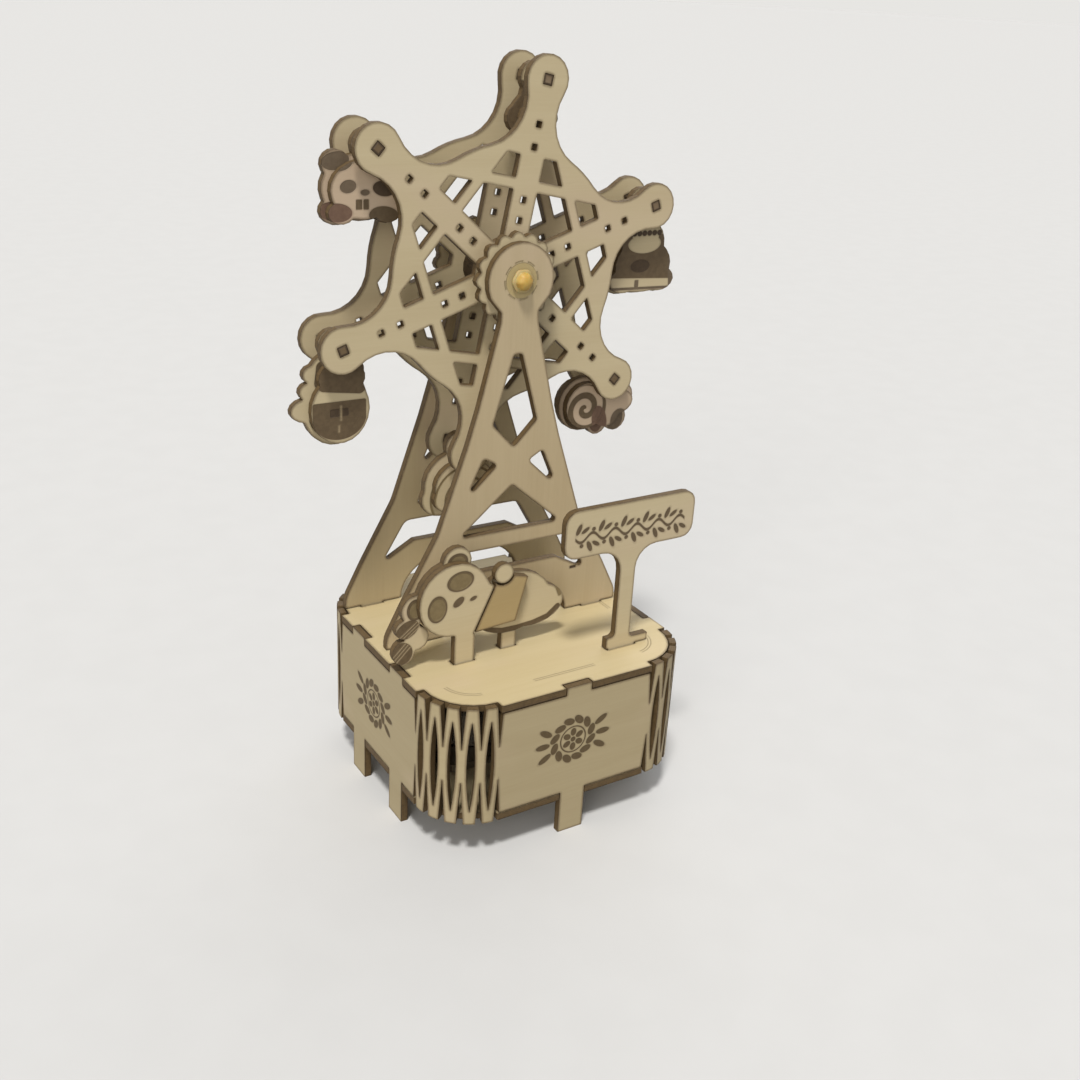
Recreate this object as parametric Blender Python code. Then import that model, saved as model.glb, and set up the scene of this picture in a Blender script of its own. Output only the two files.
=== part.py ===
"""Wooden ferris wheel music box: laser-cut plywood on a square base with living-hinge corners.

Metres, +Z up, +X to the right of the front, +Y to the back.
The origin is on the floor under the middle of the base.
"""
from math import acos, asin, atan2, ceil, cos, hypot, pi, radians, sin, sqrt

import bmesh
import bpy
from mathutils import Vector

# Sheet and fits
PLY = 0.0021
FIT = 0.0003
RUN = 0.0004
CHORD_ERROR = 0.00009
WELD = 0.0000001
SHARP_ANGLE = radians(32)

# Base
BASE_HALF = 0.041
CORNER_R = 0.0165
WALL_HEIGHT = 0.0318
LEG_LENGTH = 0.011
LEG_HALF = 0.004
LEG_SPREAD = 0.0123
SEAM_X = 0.012
UPPER_NOTCH_DEPTH = 0.0125
LOWER_NOTCH_DEPTH = 0.0135
NOTCH_HALF = 0.0009
SLOT_HALF = 0.0011
SLOT_MARGIN = 0.004
SLOTS_PER_CORNER = 5
SLOT_SIDE_STEPS = 4

# Wheel
WHEEL_RISE = 0.101
WHEEL_PLACE_SHARE = 0.343
WHEEL_R = 0.050
ARM_COUNT = 6
WHEEL_TURN = radians(-11.1)
TIP_R = 0.00625
RIM_R = 0.034
ARM_WAIST_HALF = 0.00478
SPOKE_HALF = 0.00375
BAR_INNER = 0.022
BAR_OUTER = 0.025
RIM_WALL = 0.0032
ARM_HOLE_HALF = 0.0008
ARM_HOLE_SHARES = (0.778, 0.664, 0.394, 0.287)
HUB_R = 0.010
PLATE_SPACE = 0.0113
HUB_CORE_R = 0.0065
WASHER_R = 0.0085
SCALLOP_R = 0.0116
SCALLOP_DEPTH = 0.0007
SCALLOP_COUNT = 16
SCALLOP_STEPS = 4
AXLE_R = 0.002
CAP_R = 0.0031
CAP_HEIGHT = 0.0026
CAP_TIP = 0.0007
CAP_DOME = 0.0014
DOME_STEPS = 3

# Supports
HEAD_R = 0.010
NECK_HALF = 0.0057
FOOT_MARGIN = 0.0025
NECK_DROP = 0.0025
SUPPORT_ROUND = 0.0008
WAVE_ROUND = 0.003
FLARE_ROUND = 0.012
NECK_ROUND = 0.006
TAB_SIDE_SHARES = (0.69, 0.87)

# Gondolas
EYE_WALL = 0.0024
EYE_NECK_HALF = 0.0038

# Sign
SIGN_PLACE_SHARES = (0.551, -0.6805)
SIGN_WIDTH = 0.0433
SIGN_HEIGHT = 0.0141
SIGN_RISE = 0.0309
SIGN_CORNER_R = 0.0038
SIGN_POST_HALF = 0.0026
SIGN_POST_FILLET = 0.0065
SIGN_FOOT_LEFT = 0.0053
SIGN_FOOT_RIGHT = 0.0090
SIGN_FOOT_LEFT_HEIGHT = 0.0036
SIGN_FOOT_RIGHT_HEIGHT = 0.0026
SIGN_FOOT_ROUND = 0.0013
SIGN_TAB_HALF = 0.0046

# Panda
PANDA_PLACE_SHARES = (-0.615, -0.390)
PANDA_HEAD_R = 0.0108
PANDA_HEAD_RISE = 0.0196
PANDA_LEG_HALF = 0.0031
PANDA_FOOT_HALF = 0.0024
PANDA_ROUND = 0.0012

# Musical movement
BED_HALF_X = 0.027
BED_HALF_Y = 0.019
BED_THICK = 0.0022
BED_CORNER_R = 0.003
BARREL_X = -0.0115
BARREL_R = 0.0135
BARREL_HEIGHT = 0.0105
BARREL_LIP = 0.0012
DRUM_X = 0.0095
DRUM_R = 0.0062
DRUM_HALF = 0.0115
DRUM_RISE = 0.0086
ARBOR_R = 0.0012
BEARING_THICK = 0.0018
BEARING_HALF = 0.0035
COMB_END_X = 0.0265
COMB_THICK = 0.001
COMB_TEETH = 18
COMB_SLIT = 0.0004
COMB_BACK = 0.0045
GOVERNOR_R = 0.0028
GOVERNOR_HEIGHT = 0.0085
GOVERNOR_FLANGE = 0.001
GOVERNOR_X = -0.0225
GOVERNOR_Y = 0.015
GOVERNOR_NECK_SHARE = 0.35
GOVERNOR_FAN_SHARE = 0.65
KEY_SHAFT_R = 0.0019
KEY_COLLAR_R = 0.0034
KEY_COLLAR_HEIGHT = 0.0022
KEY_WING_HALF = 0.0105
KEY_WING_HEIGHT = 0.006
KEY_WING_THICK = 0.0018
KEY_DEPTH = 0.005
KEY_ROUND = 0.0028
KEY_WAIST_SHARE = 0.22

# Levels and places that follow
Z_BOTTOM = LEG_LENGTH
Z_FLOOR = Z_BOTTOM + PLY
Z_CEILING = Z_FLOOR + WALL_HEIGHT
Z_TOP = Z_CEILING + PLY
AXLE_Z = Z_TOP + WHEEL_RISE
FLAT_HALF = BASE_HALF - CORNER_R
FOOT_HALF = BASE_HALF - FOOT_MARGIN
WHEEL_Y = WHEEL_PLACE_SHARE * BASE_HALF
SIGN_X, SIGN_Y = (share * BASE_HALF for share in SIGN_PLACE_SHARES)
PANDA_X, PANDA_Y = (share * BASE_HALF for share in PANDA_PLACE_SHARES)
PLATE_FRONT = PLATE_SPACE / 2 + PLY
WASHER_FRONT = PLATE_FRONT + FIT + PLY
SCALLOP_FRONT = WASHER_FRONT + FIT + PLY
SUPPORT_FRONT = SCALLOP_FRONT + RUN + PLY
BORE_R = AXLE_R + FIT
PIN_HALF = PLY / 2
WINDOW_END = RIM_R - RIM_WALL

# Outlines, as shares of the sizes that they follow
# Support: x of the foot's half width, z of the axle's height above the top plate
SUPPORT_SIDE_SHARES = (
    (0.301, -0.337),
    (0.378, -0.436),
    (0.600, -0.683),
    (0.86, -0.861),
    (1.0, -0.965),
)
KITE_SHARES = (
    (0.033, -0.195),
    (-0.033, -0.195),
    (-0.182, -0.386),
    (0.0, -0.457),
    (0.182, -0.386),
)
BRACE_WINDOW_SHARES = ((0.247, -0.477), (0.13, -0.502), (0.385, -0.592))
PEAK_WINDOW_SHARES = ((0.0, -0.566), (-0.43, -0.703), (0.43, -0.703))
WAVE_WINDOW_SHARES = ((0.50, -0.750), (0.70, -0.876), (0.42, -0.817))
ARCH_HALF_SHARE = 0.532
ARCH_TOP_SHARE = -0.861

# Gondola lobes: centre x, centre z, radius x, radius z, as shares of the wheel's pin radius
BEAR_LOBES_SHARES = (
    (-0.03, -0.20, 0.215, 0.165),
    (-0.165, -0.085, 0.075, 0.07),
    (0.105, -0.085, 0.075, 0.07),
    (-0.165, -0.31, 0.085, 0.07),
    (0.105, -0.31, 0.085, 0.07),
)
BEAR_FACE_SHARES = (
    (-0.03, -0.205, 0.185, 0.145),
    (-0.155, -0.315, 0.072, 0.055),
    (0.095, -0.315, 0.072, 0.055),
)
BIRD_LOBES_SHARES = (
    (0.01, -0.33, 0.185, 0.215),
    (0.02, -0.15, 0.155, 0.12),
    (-0.145, -0.34, 0.095, 0.065),
    (-0.11, -0.15, 0.06, 0.05),
    (-0.13, -0.24, 0.06, 0.05),
)
BIRD_FACE_SHARES = (
    (0.02, -0.34, 0.165, 0.185),
    (0.03, -0.17, 0.13, 0.10),
)
BELL_LOBES_SHARES = (
    (0.0, -0.22, 0.16, 0.16),
    (0.01, -0.35, 0.205, 0.16),
    (-0.125, -0.437, 0.105, 0.08),
    (0.14, -0.437, 0.105, 0.08),
    (0.01, -0.437, 0.20, 0.08),
)
BELL_FACE_SHARES = (
    (0.0, -0.23, 0.15, 0.15),
    (0.01, -0.35, 0.195, 0.15),
    (-0.12, -0.433, 0.10, 0.07),
    (0.135, -0.433, 0.10, 0.07),
    (0.01, -0.433, 0.19, 0.07),
)
SNAIL_LOBES_SHARES = (
    (-0.12, -0.175, 0.17, 0.165),
    (0.10, -0.155, 0.14, 0.10),
    (-0.01, -0.30, 0.075, 0.08),
    (0.12, -0.29, 0.08, 0.08),
    (0.05, -0.215, 0.10, 0.08),
)
SNAIL_FACE_SHARES = (
    (-0.12, -0.175, 0.145, 0.14),
    (0.09, -0.175, 0.12, 0.08),
    (0.02, -0.25, 0.09, 0.07),
)
SHELL_LOBES_SHARES = (
    (0.02, -0.22, 0.235, 0.20),
    (-0.11, -0.30, 0.12, 0.11),
    (0.13, -0.30, 0.13, 0.11),
    (0.0, -0.34, 0.12, 0.09),
)
SHELL_FACE_SHARES = (
    (0.02, -0.22, 0.19, 0.15),
    (-0.08, -0.29, 0.095, 0.085),
    (0.10, -0.29, 0.10, 0.085),
)
CONE_LOBES_SHARES = (
    (0.0, -0.20, 0.135, 0.13),
    (0.0, -0.31, 0.10, 0.11),
    (-0.08, -0.20, 0.075, 0.075),
    (0.08, -0.20, 0.075, 0.075),
)
CONE_FACE_SHARES = (
    (0.0, -0.21, 0.105, 0.10),
    (0.0, -0.30, 0.075, 0.09),
)
GONDOLA_KINDS = (
    ("cone", CONE_LOBES_SHARES, CONE_FACE_SHARES),
    ("bear", BEAR_LOBES_SHARES, BEAR_FACE_SHARES),
    ("bird", BIRD_LOBES_SHARES, BIRD_FACE_SHARES),
    ("shell", SHELL_LOBES_SHARES, SHELL_FACE_SHARES),
    ("snail", SNAIL_LOBES_SHARES, SNAIL_FACE_SHARES),
    ("bell", BELL_LOBES_SHARES, BELL_FACE_SHARES),
)

# Panda: places from the head's centre, as shares of the head's radius
PANDA_BODY_SHARES = (
    (0.0, 0.0, 0.97, 0.97),
    (0.15, 0.94, 0.40, 0.40),
    (-0.98, -0.15, 0.40, 0.40),
    (1.75, -0.52, 1.20, 0.87),
    (2.42, -0.75, 0.95, 0.60),
    (-1.20, -0.64, 0.34, 0.28),
    (-1.30, -1.28, 0.31, 0.34),
    (-0.95, -0.95, 0.34, 0.34),
)
PANDA_SHOULDER_SHARES = (1.09, 0.16)
PANDA_ELBOW_SHARES = (0.54, -1.05)
PANDA_LEG_SHARE = 0.29
PANDA_FOOT_SHARE = 1.72
PANDA_BLANKET_SHARES = ((0.54, -1.03), (1.78, -0.96), (2.10, 0.25))
PANDA_PAW_SHARES = (1.384, 0.469, 0.277)
PANDA_NAPE = radians(22)
PANDA_PAW_OPEN = radians(-20)

# Roundness of small turned and drawn shapes
FILLET_REACH_SHARE = 0.49
CHORD_LIMIT_SHARE = 0.2
ARCH_STEPS = 10
ROD_SIDES = 14
CAP_SIDES = 16
DRUM_SIDES = 20
BARREL_SIDES = 28
KEY_SIDES = 16
CROSSING_HALVINGS = 30


# Outline tools

def chord_step(radius):
    """Angle of a chord that strays from its arc by CHORD_ERROR."""
    return 2 * acos(1 - min(CHORD_ERROR / radius, CHORD_LIMIT_SHARE))


def arc(centre_x, centre_z, radius, start, end):
    """Points of an arc between two angles, close enough that no chord strays past CHORD_ERROR."""
    count = max(2, ceil(abs(end - start) / chord_step(radius)))
    points = []
    for index in range(count + 1):
        angle = start + (end - start) * index / count
        points.append((centre_x + radius * cos(angle), centre_z + radius * sin(angle)))
    return points


def circle(centre_x, centre_z, radius):
    """Points of a full circle, the first one not repeated."""
    return arc(centre_x, centre_z, radius, 0, 2 * pi)[:-1]


def rounded(corners):
    """Outline through corners given as (x, z, radius), each replaced by its fillet arc."""
    points = []
    for index, (x, z, radius) in enumerate(corners):
        if radius == 0:
            points.append((x, z))
            continue
        before = Vector(corners[index - 1][:2]) - Vector((x, z))
        after = Vector(corners[(index + 1) % len(corners)][:2]) - Vector((x, z))
        half = before.angle(after) / 2
        reach = min(before.length, after.length) * FILLET_REACH_SHARE
        fillet = min(radius, reach * sin(half) / cos(half))
        setback = fillet * cos(half) / sin(half)
        start = Vector((x, z)) + before.normalized() * setback
        end = Vector((x, z)) + after.normalized() * setback
        middle = (before.normalized() + after.normalized()).normalized()
        centre = Vector((x, z)) + middle * fillet / sin(half)
        first = atan2(start.y - centre.y, start.x - centre.x)
        last = atan2(end.y - centre.y, end.x - centre.x)
        sweep = (last - first + pi) % (2 * pi) - pi
        points += arc(centre.x, centre.y, fillet, first, first + sweep)
    return points


def mirrored(points):
    """The same points on the other side of x = 0, in the order that closes the outline."""
    return [(-x, z) for x, z in reversed(points)]


def turned_by(points, angle):
    """Points turned about the origin."""
    return [(x * cos(angle) - z * sin(angle), x * sin(angle) + z * cos(angle)) for x, z in points]


def scaled(shares, size_x, size_z):
    """Points given as shares of two sizes."""
    return [(x * size_x, z * size_z) for x, z in shares]


def rounded_scaled(shares, size_x, size_z, radius):
    """Outline given as shares of two sizes, all its corners rounded alike."""
    return rounded([(x, z, radius) for x, z in scaled(shares, size_x, size_z)])


def on_lobe(lobe, angle):
    """Point of an ellipse's edge."""
    return lobe[0] + lobe[2] * cos(angle), lobe[1] + lobe[3] * sin(angle)


def covering(lobes, current, angle):
    """The other ellipses that hold a point of the current one's edge."""
    x, z = on_lobe(lobes[current], angle)
    found = []
    for index, (centre_x, centre_z, radius_x, radius_z) in enumerate(lobes):
        reach = ((x - centre_x) / radius_x) ** 2 + ((z - centre_z) / radius_z) ** 2
        if index != current and reach < 1:
            found.append(index)
    return found


def lobed(lobes):
    """Outline of overlapping ellipses: along one until another covers it, then along that one."""
    first = max(range(len(lobes)), key=lambda index: lobes[index][0] + lobes[index][2])
    current = first
    angle = 0
    points = []
    while True:
        points.append(on_lobe(lobes[current], angle))
        ahead = angle + chord_step(max(lobes[current][2:]))
        if covering(lobes, current, ahead):
            low, high = angle, ahead
            for _ in range(CROSSING_HALVINGS):
                middle = (low + high) / 2
                if covering(lobes, current, middle):
                    high = middle
                else:
                    low = middle
            x, z = on_lobe(lobes[current], high)
            current = covering(lobes, current, high)[0]
            centre_x, centre_z, radius_x, radius_z = lobes[current]
            ahead = atan2((z - centre_z) / radius_z, (x - centre_x) / radius_x) % (2 * pi)
        elif current == first and ahead >= 2 * pi:
            break
        angle = ahead
    return spaced(points)


def spaced(points):
    """The points without those that crowd the one before."""
    kept = [points[0]]
    for point in points[1:]:
        if hypot(point[0] - kept[-1][0], point[1] - kept[-1][1]) > FIT:
            kept.append(point)
    if hypot(kept[-1][0] - kept[0][0], kept[-1][1] - kept[0][1]) < FIT:
        kept.pop()
    return kept


# Solid tools

def paint(name, colour, roughness, metallic=0.0):
    """A plain Principled material."""
    material = bpy.data.materials.new(name)
    material.use_nodes = True
    shader = material.node_tree.nodes["Principled BSDF"]
    shader.inputs["Base Color"].default_value = (*colour, 1)
    shader.inputs["Roughness"].default_value = roughness
    shader.inputs["Metallic"].default_value = metallic
    return material


def place(name, mesh_maker, material, location=(0, 0, 0), parent=None, turn=(0, 0, 0)):
    """Make a mesh object of a bmesh, shade it and put it in the scene."""
    mesh = bpy.data.meshes.new(name)
    bmesh.ops.recalc_face_normals(mesh_maker, faces=mesh_maker.faces[:])
    mesh_maker.to_mesh(mesh)
    mesh_maker.free()
    mesh.materials.append(material)
    mesh.shade_smooth()
    mesh.set_sharp_from_angle(angle=SHARP_ANGLE)
    item = bpy.data.objects.new(name, mesh)
    item.location = location
    item.rotation_euler = turn
    item.parent = parent
    bpy.context.scene.collection.objects.link(item)
    return item


def pivot(name, location, parent=None):
    """An empty on a joint's axis, which carries the pieces that turn with it."""
    empty = bpy.data.objects.new(name, None)
    empty.location = location
    empty.parent = parent
    bpy.context.scene.collection.objects.link(empty)
    return empty


def extruded(outline, holes, depth, upright=True):
    """Solid sheet cut to an outline with holes: upright in XZ, or level in XY."""
    maker = bmesh.new()
    for points in [outline, *holes]:
        corners = []
        for x, other in points:
            spot = (x, 0, other) if upright else (x, other, 0)
            corners.append(maker.verts.new(spot))
        for start, end in zip(corners, corners[1:] + corners[:1]):
            maker.edges.new((start, end))
    bmesh.ops.triangle_fill(maker, edges=maker.edges[:], use_beauty=True)
    grown = bmesh.ops.extrude_face_region(maker, geom=maker.faces[:])
    moved = [piece for piece in grown["geom"] if isinstance(piece, bmesh.types.BMVert)]
    push = (0, depth, 0) if upright else (0, 0, depth)
    bmesh.ops.translate(maker, verts=moved, vec=push)
    return maker


def turned(profile, steps):
    """Solid of revolution about Z, of a profile of (radius, height) points from axis to axis."""
    maker = bmesh.new()
    corners = [maker.verts.new((radius, 0, height)) for radius, height in profile]
    for start, end in zip(corners, corners[1:]):
        maker.edges.new((start, end))
    bmesh.ops.spin(maker, geom=maker.verts[:] + maker.edges[:], axis=(0, 0, 1), cent=(0, 0, 0),
                   angle=2 * pi, steps=steps, use_merge=True)
    bmesh.ops.remove_doubles(maker, verts=maker.verts[:], dist=WELD)
    return maker


def rectangle(x_low, x_high, z_low, z_high):
    """Corners of a rectangle."""
    return [(x_low, z_low), (x_high, z_low), (x_high, z_high), (x_low, z_high)]


def square(half):
    """Corners of a square about the origin."""
    return rectangle(-half, half, -half, half)


# Base

def corner_length():
    """Length of the wall's middle surface round one corner."""
    return (CORNER_R - PLY / 2) * pi / 2


def wall_flats():
    """The wall's flat stretches in order from the seam, each with its legs' places along it."""
    side_legs = (FLAT_HALF - LEG_SPREAD, FLAT_HALF + LEG_SPREAD)
    return (
        (FLAT_HALF + SEAM_X, (SEAM_X,)),
        (2 * FLAT_HALF, side_legs),
        (2 * FLAT_HALF, (FLAT_HALF,)),
        (2 * FLAT_HALF, side_legs),
        (FLAT_HALF - SEAM_X - FIT, ()),
    )


def hinge_notch(place_along, edge, tip, left_edge, right_edge):
    """Three points of a V notch; the flats beside the end notches stop short of the strip's edge."""
    left = NOTCH_HALF * (left_edge - tip) / (edge - tip)
    right = NOTCH_HALF * (right_edge - tip) / (edge - tip)
    return [(place_along - left, left_edge), (place_along, tip), (place_along + right, right_edge)]


def wall_edge(strip_edge, flat_edge, leg_edge, notch_tip):
    """One long edge of the flat wall strip, with legs or tabs on the flats and notches at the corners."""
    points = [(0, flat_edge)]
    along = 0
    flats = wall_flats()
    for index, (length, legs) in enumerate(flats):
        for leg in legs:
            left = along + leg - LEG_HALF
            right = along + leg + LEG_HALF
            points += [(left, flat_edge), (left, leg_edge), (right, leg_edge), (right, flat_edge)]
        along += length
        if index == len(flats) - 1:
            points.append((along, flat_edge))
            break
        pitch = corner_length() / SLOTS_PER_CORNER
        for count in range(SLOTS_PER_CORNER + 1):
            left_edge = flat_edge if count == 0 else strip_edge
            right_edge = flat_edge if count == SLOTS_PER_CORNER else strip_edge
            points += hinge_notch(along + count * pitch, strip_edge, notch_tip, left_edge, right_edge)
        along += corner_length()
    return points


def corner_starts():
    """Where along the strip each corner begins."""
    starts = []
    along = 0
    for length, _ in wall_flats()[:-1]:
        along += length
        starts.append(along)
        along += corner_length()
    return starts


def hinge_slot(along):
    """Long pointed slot, its half width falling off as the square of the way from its middle."""
    middle = (Z_BOTTOM + Z_TOP) / 2
    half_length = (Z_TOP - Z_BOTTOM) / 2 - SLOT_MARGIN
    sides = []
    for step in range(-SLOT_SIDE_STEPS, SLOT_SIDE_STEPS):
        way = step / SLOT_SIDE_STEPS
        sides.append((SLOT_HALF * (1 - way * way), way * half_length))
    right = [(along + offset, middle + rise) for offset, rise in sides]
    left = [(along - offset, middle - rise) for offset, rise in sides]
    return right + left


def bent(along, outward):
    """Where a point of the flat strip goes once the strip is bent round the base."""
    spot = Vector((SEAM_X, BASE_HALF - PLY / 2))
    heading = Vector((-1, 0))
    radius = CORNER_R - PLY / 2
    left = along
    for length, _ in wall_flats():
        normal = Vector((heading.y, -heading.x))
        if left <= length:
            return spot + heading * left + normal * outward
        left -= length
        spot += heading * length
        if left <= corner_length():
            angle = left / radius
            centre = spot - normal * radius
            way = normal * cos(angle) + heading * sin(angle)
            return centre + way * (radius + outward)
        left -= corner_length()
        spot += heading * radius - normal * radius
        heading = Vector((-heading.y, heading.x))
    return spot


def make_wall(material):
    """The wall: a flat strip with legs, tabs and hinge slots, bent round the four corners."""
    upper = wall_edge(Z_TOP, Z_CEILING - FIT, Z_TOP, Z_TOP - UPPER_NOTCH_DEPTH)
    lower = wall_edge(Z_BOTTOM, Z_FLOOR + FIT, 0, Z_BOTTOM + LOWER_NOTCH_DEPTH)
    pitch = corner_length() / SLOTS_PER_CORNER
    slots = []
    folds = []
    for start in corner_starts():
        folds += [start + count * pitch / 2 for count in range(2 * SLOTS_PER_CORNER + 1)]
        slots += [hinge_slot(start + (count + 0.5) * pitch) for count in range(SLOTS_PER_CORNER)]
    maker = extruded(lower + upper[::-1], slots, PLY)
    for fold in folds:
        everything = maker.verts[:] + maker.edges[:] + maker.faces[:]
        bmesh.ops.bisect_plane(maker, geom=everything, dist=WELD, plane_co=(fold, 0, 0),
                               plane_no=(1, 0, 0))
    bmesh.ops.triangulate(maker, faces=maker.faces[:])
    for corner in maker.verts:
        spot = bent(corner.co.x, PLY / 2 - corner.co.y)
        corner.co = (spot.x, spot.y, corner.co.z)
    place("base_wall", maker, material)


def plate_outline():
    """Base plate: flats over the wall's flats, notched for legs or tabs, and corners inside the strip."""
    reach = BASE_HALF
    flat = FLAT_HALF - FIT
    notch_half = LEG_HALF + FIT
    inner = BASE_HALF - PLY - FIT
    corner = arc(FLAT_HALF, FLAT_HALF, inner - FLAT_HALF, pi / 2, 0)
    outline = []
    for quarter in range(4):
        legs = (-LEG_SPREAD, LEG_SPREAD) if quarter % 2 else (0,)
        side = [(-flat, inner), (-flat, reach)]
        for leg in legs:
            side += [(leg - notch_half, reach), (leg - notch_half, inner)]
            side += [(leg + notch_half, inner), (leg + notch_half, reach)]
        side += [(flat, reach), (flat, inner)]
        side += corner[1:-1]
        outline += turned_by(side, -quarter * pi / 2)
    return outline


def plate_slot(centre_x, half_width, front_y):
    """Slot through the top plate for a tab of one sheet's thickness."""
    grow = half_width + FIT
    return rectangle(centre_x - grow, centre_x + grow, front_y - FIT, front_y + PLY + FIT)


def support_tabs():
    """Middle and half width of each tab under a support's feet."""
    inner, outer = (share * FOOT_HALF for share in TAB_SIDE_SHARES)
    middle = (inner + outer) / 2
    return ((-middle, (outer - inner) / 2), (middle, (outer - inner) / 2))


def make_base(wood, pale_wood):
    """Wall, bottom plate with the key's hole, and top plate with the slots of what stands on it."""
    make_wall(wood)
    key_hole = circle(BARREL_X, 0, KEY_SHAFT_R + RUN)
    bottom = extruded(plate_outline(), [key_hole], PLY, upright=False)
    place("base_bottom_plate", bottom, wood, (0, 0, Z_BOTTOM))
    slots = []
    for front in (WHEEL_Y - SUPPORT_FRONT, WHEEL_Y + SUPPORT_FRONT - PLY):
        slots += [plate_slot(middle, half, front) for middle, half in support_tabs()]
    slots.append(plate_slot(SIGN_X, SIGN_TAB_HALF, SIGN_Y))
    slots.append(plate_slot(PANDA_X + PANDA_LEG_SHARE * PANDA_HEAD_R, PANDA_LEG_HALF, PANDA_Y))
    foot_x = PANDA_X + PANDA_FOOT_SHARE * PANDA_HEAD_R
    slots.append(plate_slot(foot_x, PANDA_FOOT_HALF, PANDA_Y + PLY + FIT))
    top = extruded(plate_outline(), slots, PLY, upright=False)
    place("base_top_plate", top, pale_wood, (0, 0, Z_CEILING))


# Supports

def support_side():
    """Right side of a support, from the head down to the foot's outer corner."""
    drop = WHEEL_RISE - FIT
    neck_angle = acos(NECK_HALF / HEAD_R)
    side = arc(0, 0, HEAD_R, pi / 2, -neck_angle)[1:-2]
    neck_z = -HEAD_R * sin(neck_angle)
    corners = [(NECK_HALF, neck_z, 0), (NECK_HALF, neck_z - NECK_DROP, NECK_ROUND)]
    for share_x, share_z in SUPPORT_SIDE_SHARES:
        corners.append((share_x * FOOT_HALF, share_z * WHEEL_RISE, FLARE_ROUND))
    corners.append((FOOT_HALF, -drop, 0))
    return side + rounded(corners)


def support_foot():
    """Underside of a support from the right foot's outer corner to the middle of the arch."""
    drop = WHEEL_RISE - FIT
    points = []
    middle, half = support_tabs()[1]
    deep = drop + FIT + PLY
    points += [(middle + half, -drop), (middle + half, -deep), (middle - half, -deep)]
    points.append((middle - half, -drop))
    arch_half = ARCH_HALF_SHARE * FOOT_HALF
    arch_rise = drop + ARCH_TOP_SHARE * WHEEL_RISE
    for step in range(ARCH_STEPS):
        angle = pi / 2 * step / ARCH_STEPS
        points.append((arch_half * cos(angle), -drop + arch_rise * sin(angle)))
    return points


def support_windows():
    """The openings of a support's frame."""
    wave = scaled(WAVE_WINDOW_SHARES, FOOT_HALF, WHEEL_RISE)
    brace = rounded_scaled(BRACE_WINDOW_SHARES, FOOT_HALF, WHEEL_RISE, SUPPORT_ROUND)
    whole_wave = []
    for x, z in wave + mirrored(wave):
        whole_wave.append((x, z, WAVE_ROUND if z == wave[0][1] else SUPPORT_ROUND))
    return [
        circle(0, 0, BORE_R),
        rounded_scaled(KITE_SHARES, FOOT_HALF, WHEEL_RISE, SUPPORT_ROUND),
        brace,
        mirrored(brace),
        rounded_scaled(PEAK_WINDOW_SHARES, FOOT_HALF, WHEEL_RISE, SUPPORT_ROUND),
        rounded(whole_wave),
    ]


def make_supports(wood):
    """The two frames that carry the axle, front and back alike."""
    arch_top = [(0, ARCH_TOP_SHARE * WHEEL_RISE)]
    right = support_side() + support_foot()
    outline = [(0, HEAD_R)] + right + arch_top + mirrored(right)
    for name, front in (("support_front", -SUPPORT_FRONT), ("support_back", SUPPORT_FRONT - PLY)):
        maker = extruded(outline, support_windows(), PLY)
        place(name, maker, wood, (0, WHEEL_Y + front, AXLE_Z))


# Wheel

def neck_reach(disc_r, neck_r):
    """Way along the arm from a disc's centre to the centre of a neck arc that is tangent to it."""
    return sqrt((disc_r + neck_r) ** 2 - (ARM_WAIST_HALF + neck_r) ** 2)


def neck_radius():
    """Radius of the hollow arc that leaves the arm its waist, tangent to the rim and the tip disc."""
    low, high = 0, WHEEL_R
    for _ in range(CROSSING_HALVINGS):
        middle = (low + high) / 2
        if neck_reach(RIM_R, middle) + neck_reach(TIP_R, middle) > WHEEL_R:
            high = middle
        else:
            low = middle
    return high


def wheel_outline():
    """Six arms: tip disc, hollow neck arc tangent to tip and rim, and rim arc, repeated."""
    neck_r = neck_radius()
    centre_x = neck_reach(RIM_R, neck_r)
    centre_z = ARM_WAIST_HALF + neck_r
    tip_angle = atan2(centre_z, centre_x - WHEEL_R)
    rim_angle = atan2(centre_z, centre_x)
    sector = 2 * pi / ARM_COUNT
    half = arc(WHEEL_R, 0, TIP_R, 0, tip_angle)[:-1]
    half += arc(centre_x, centre_z, neck_r, tip_angle - pi, rim_angle - pi)
    half += arc(0, 0, RIM_R, rim_angle, sector / 2)[1:]
    arm = [(x, -z) for x, z in reversed(half[1:-1])] + half
    outline = []
    for count in range(ARM_COUNT):
        outline += turned_by(arm, count * sector)
    return outline


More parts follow.
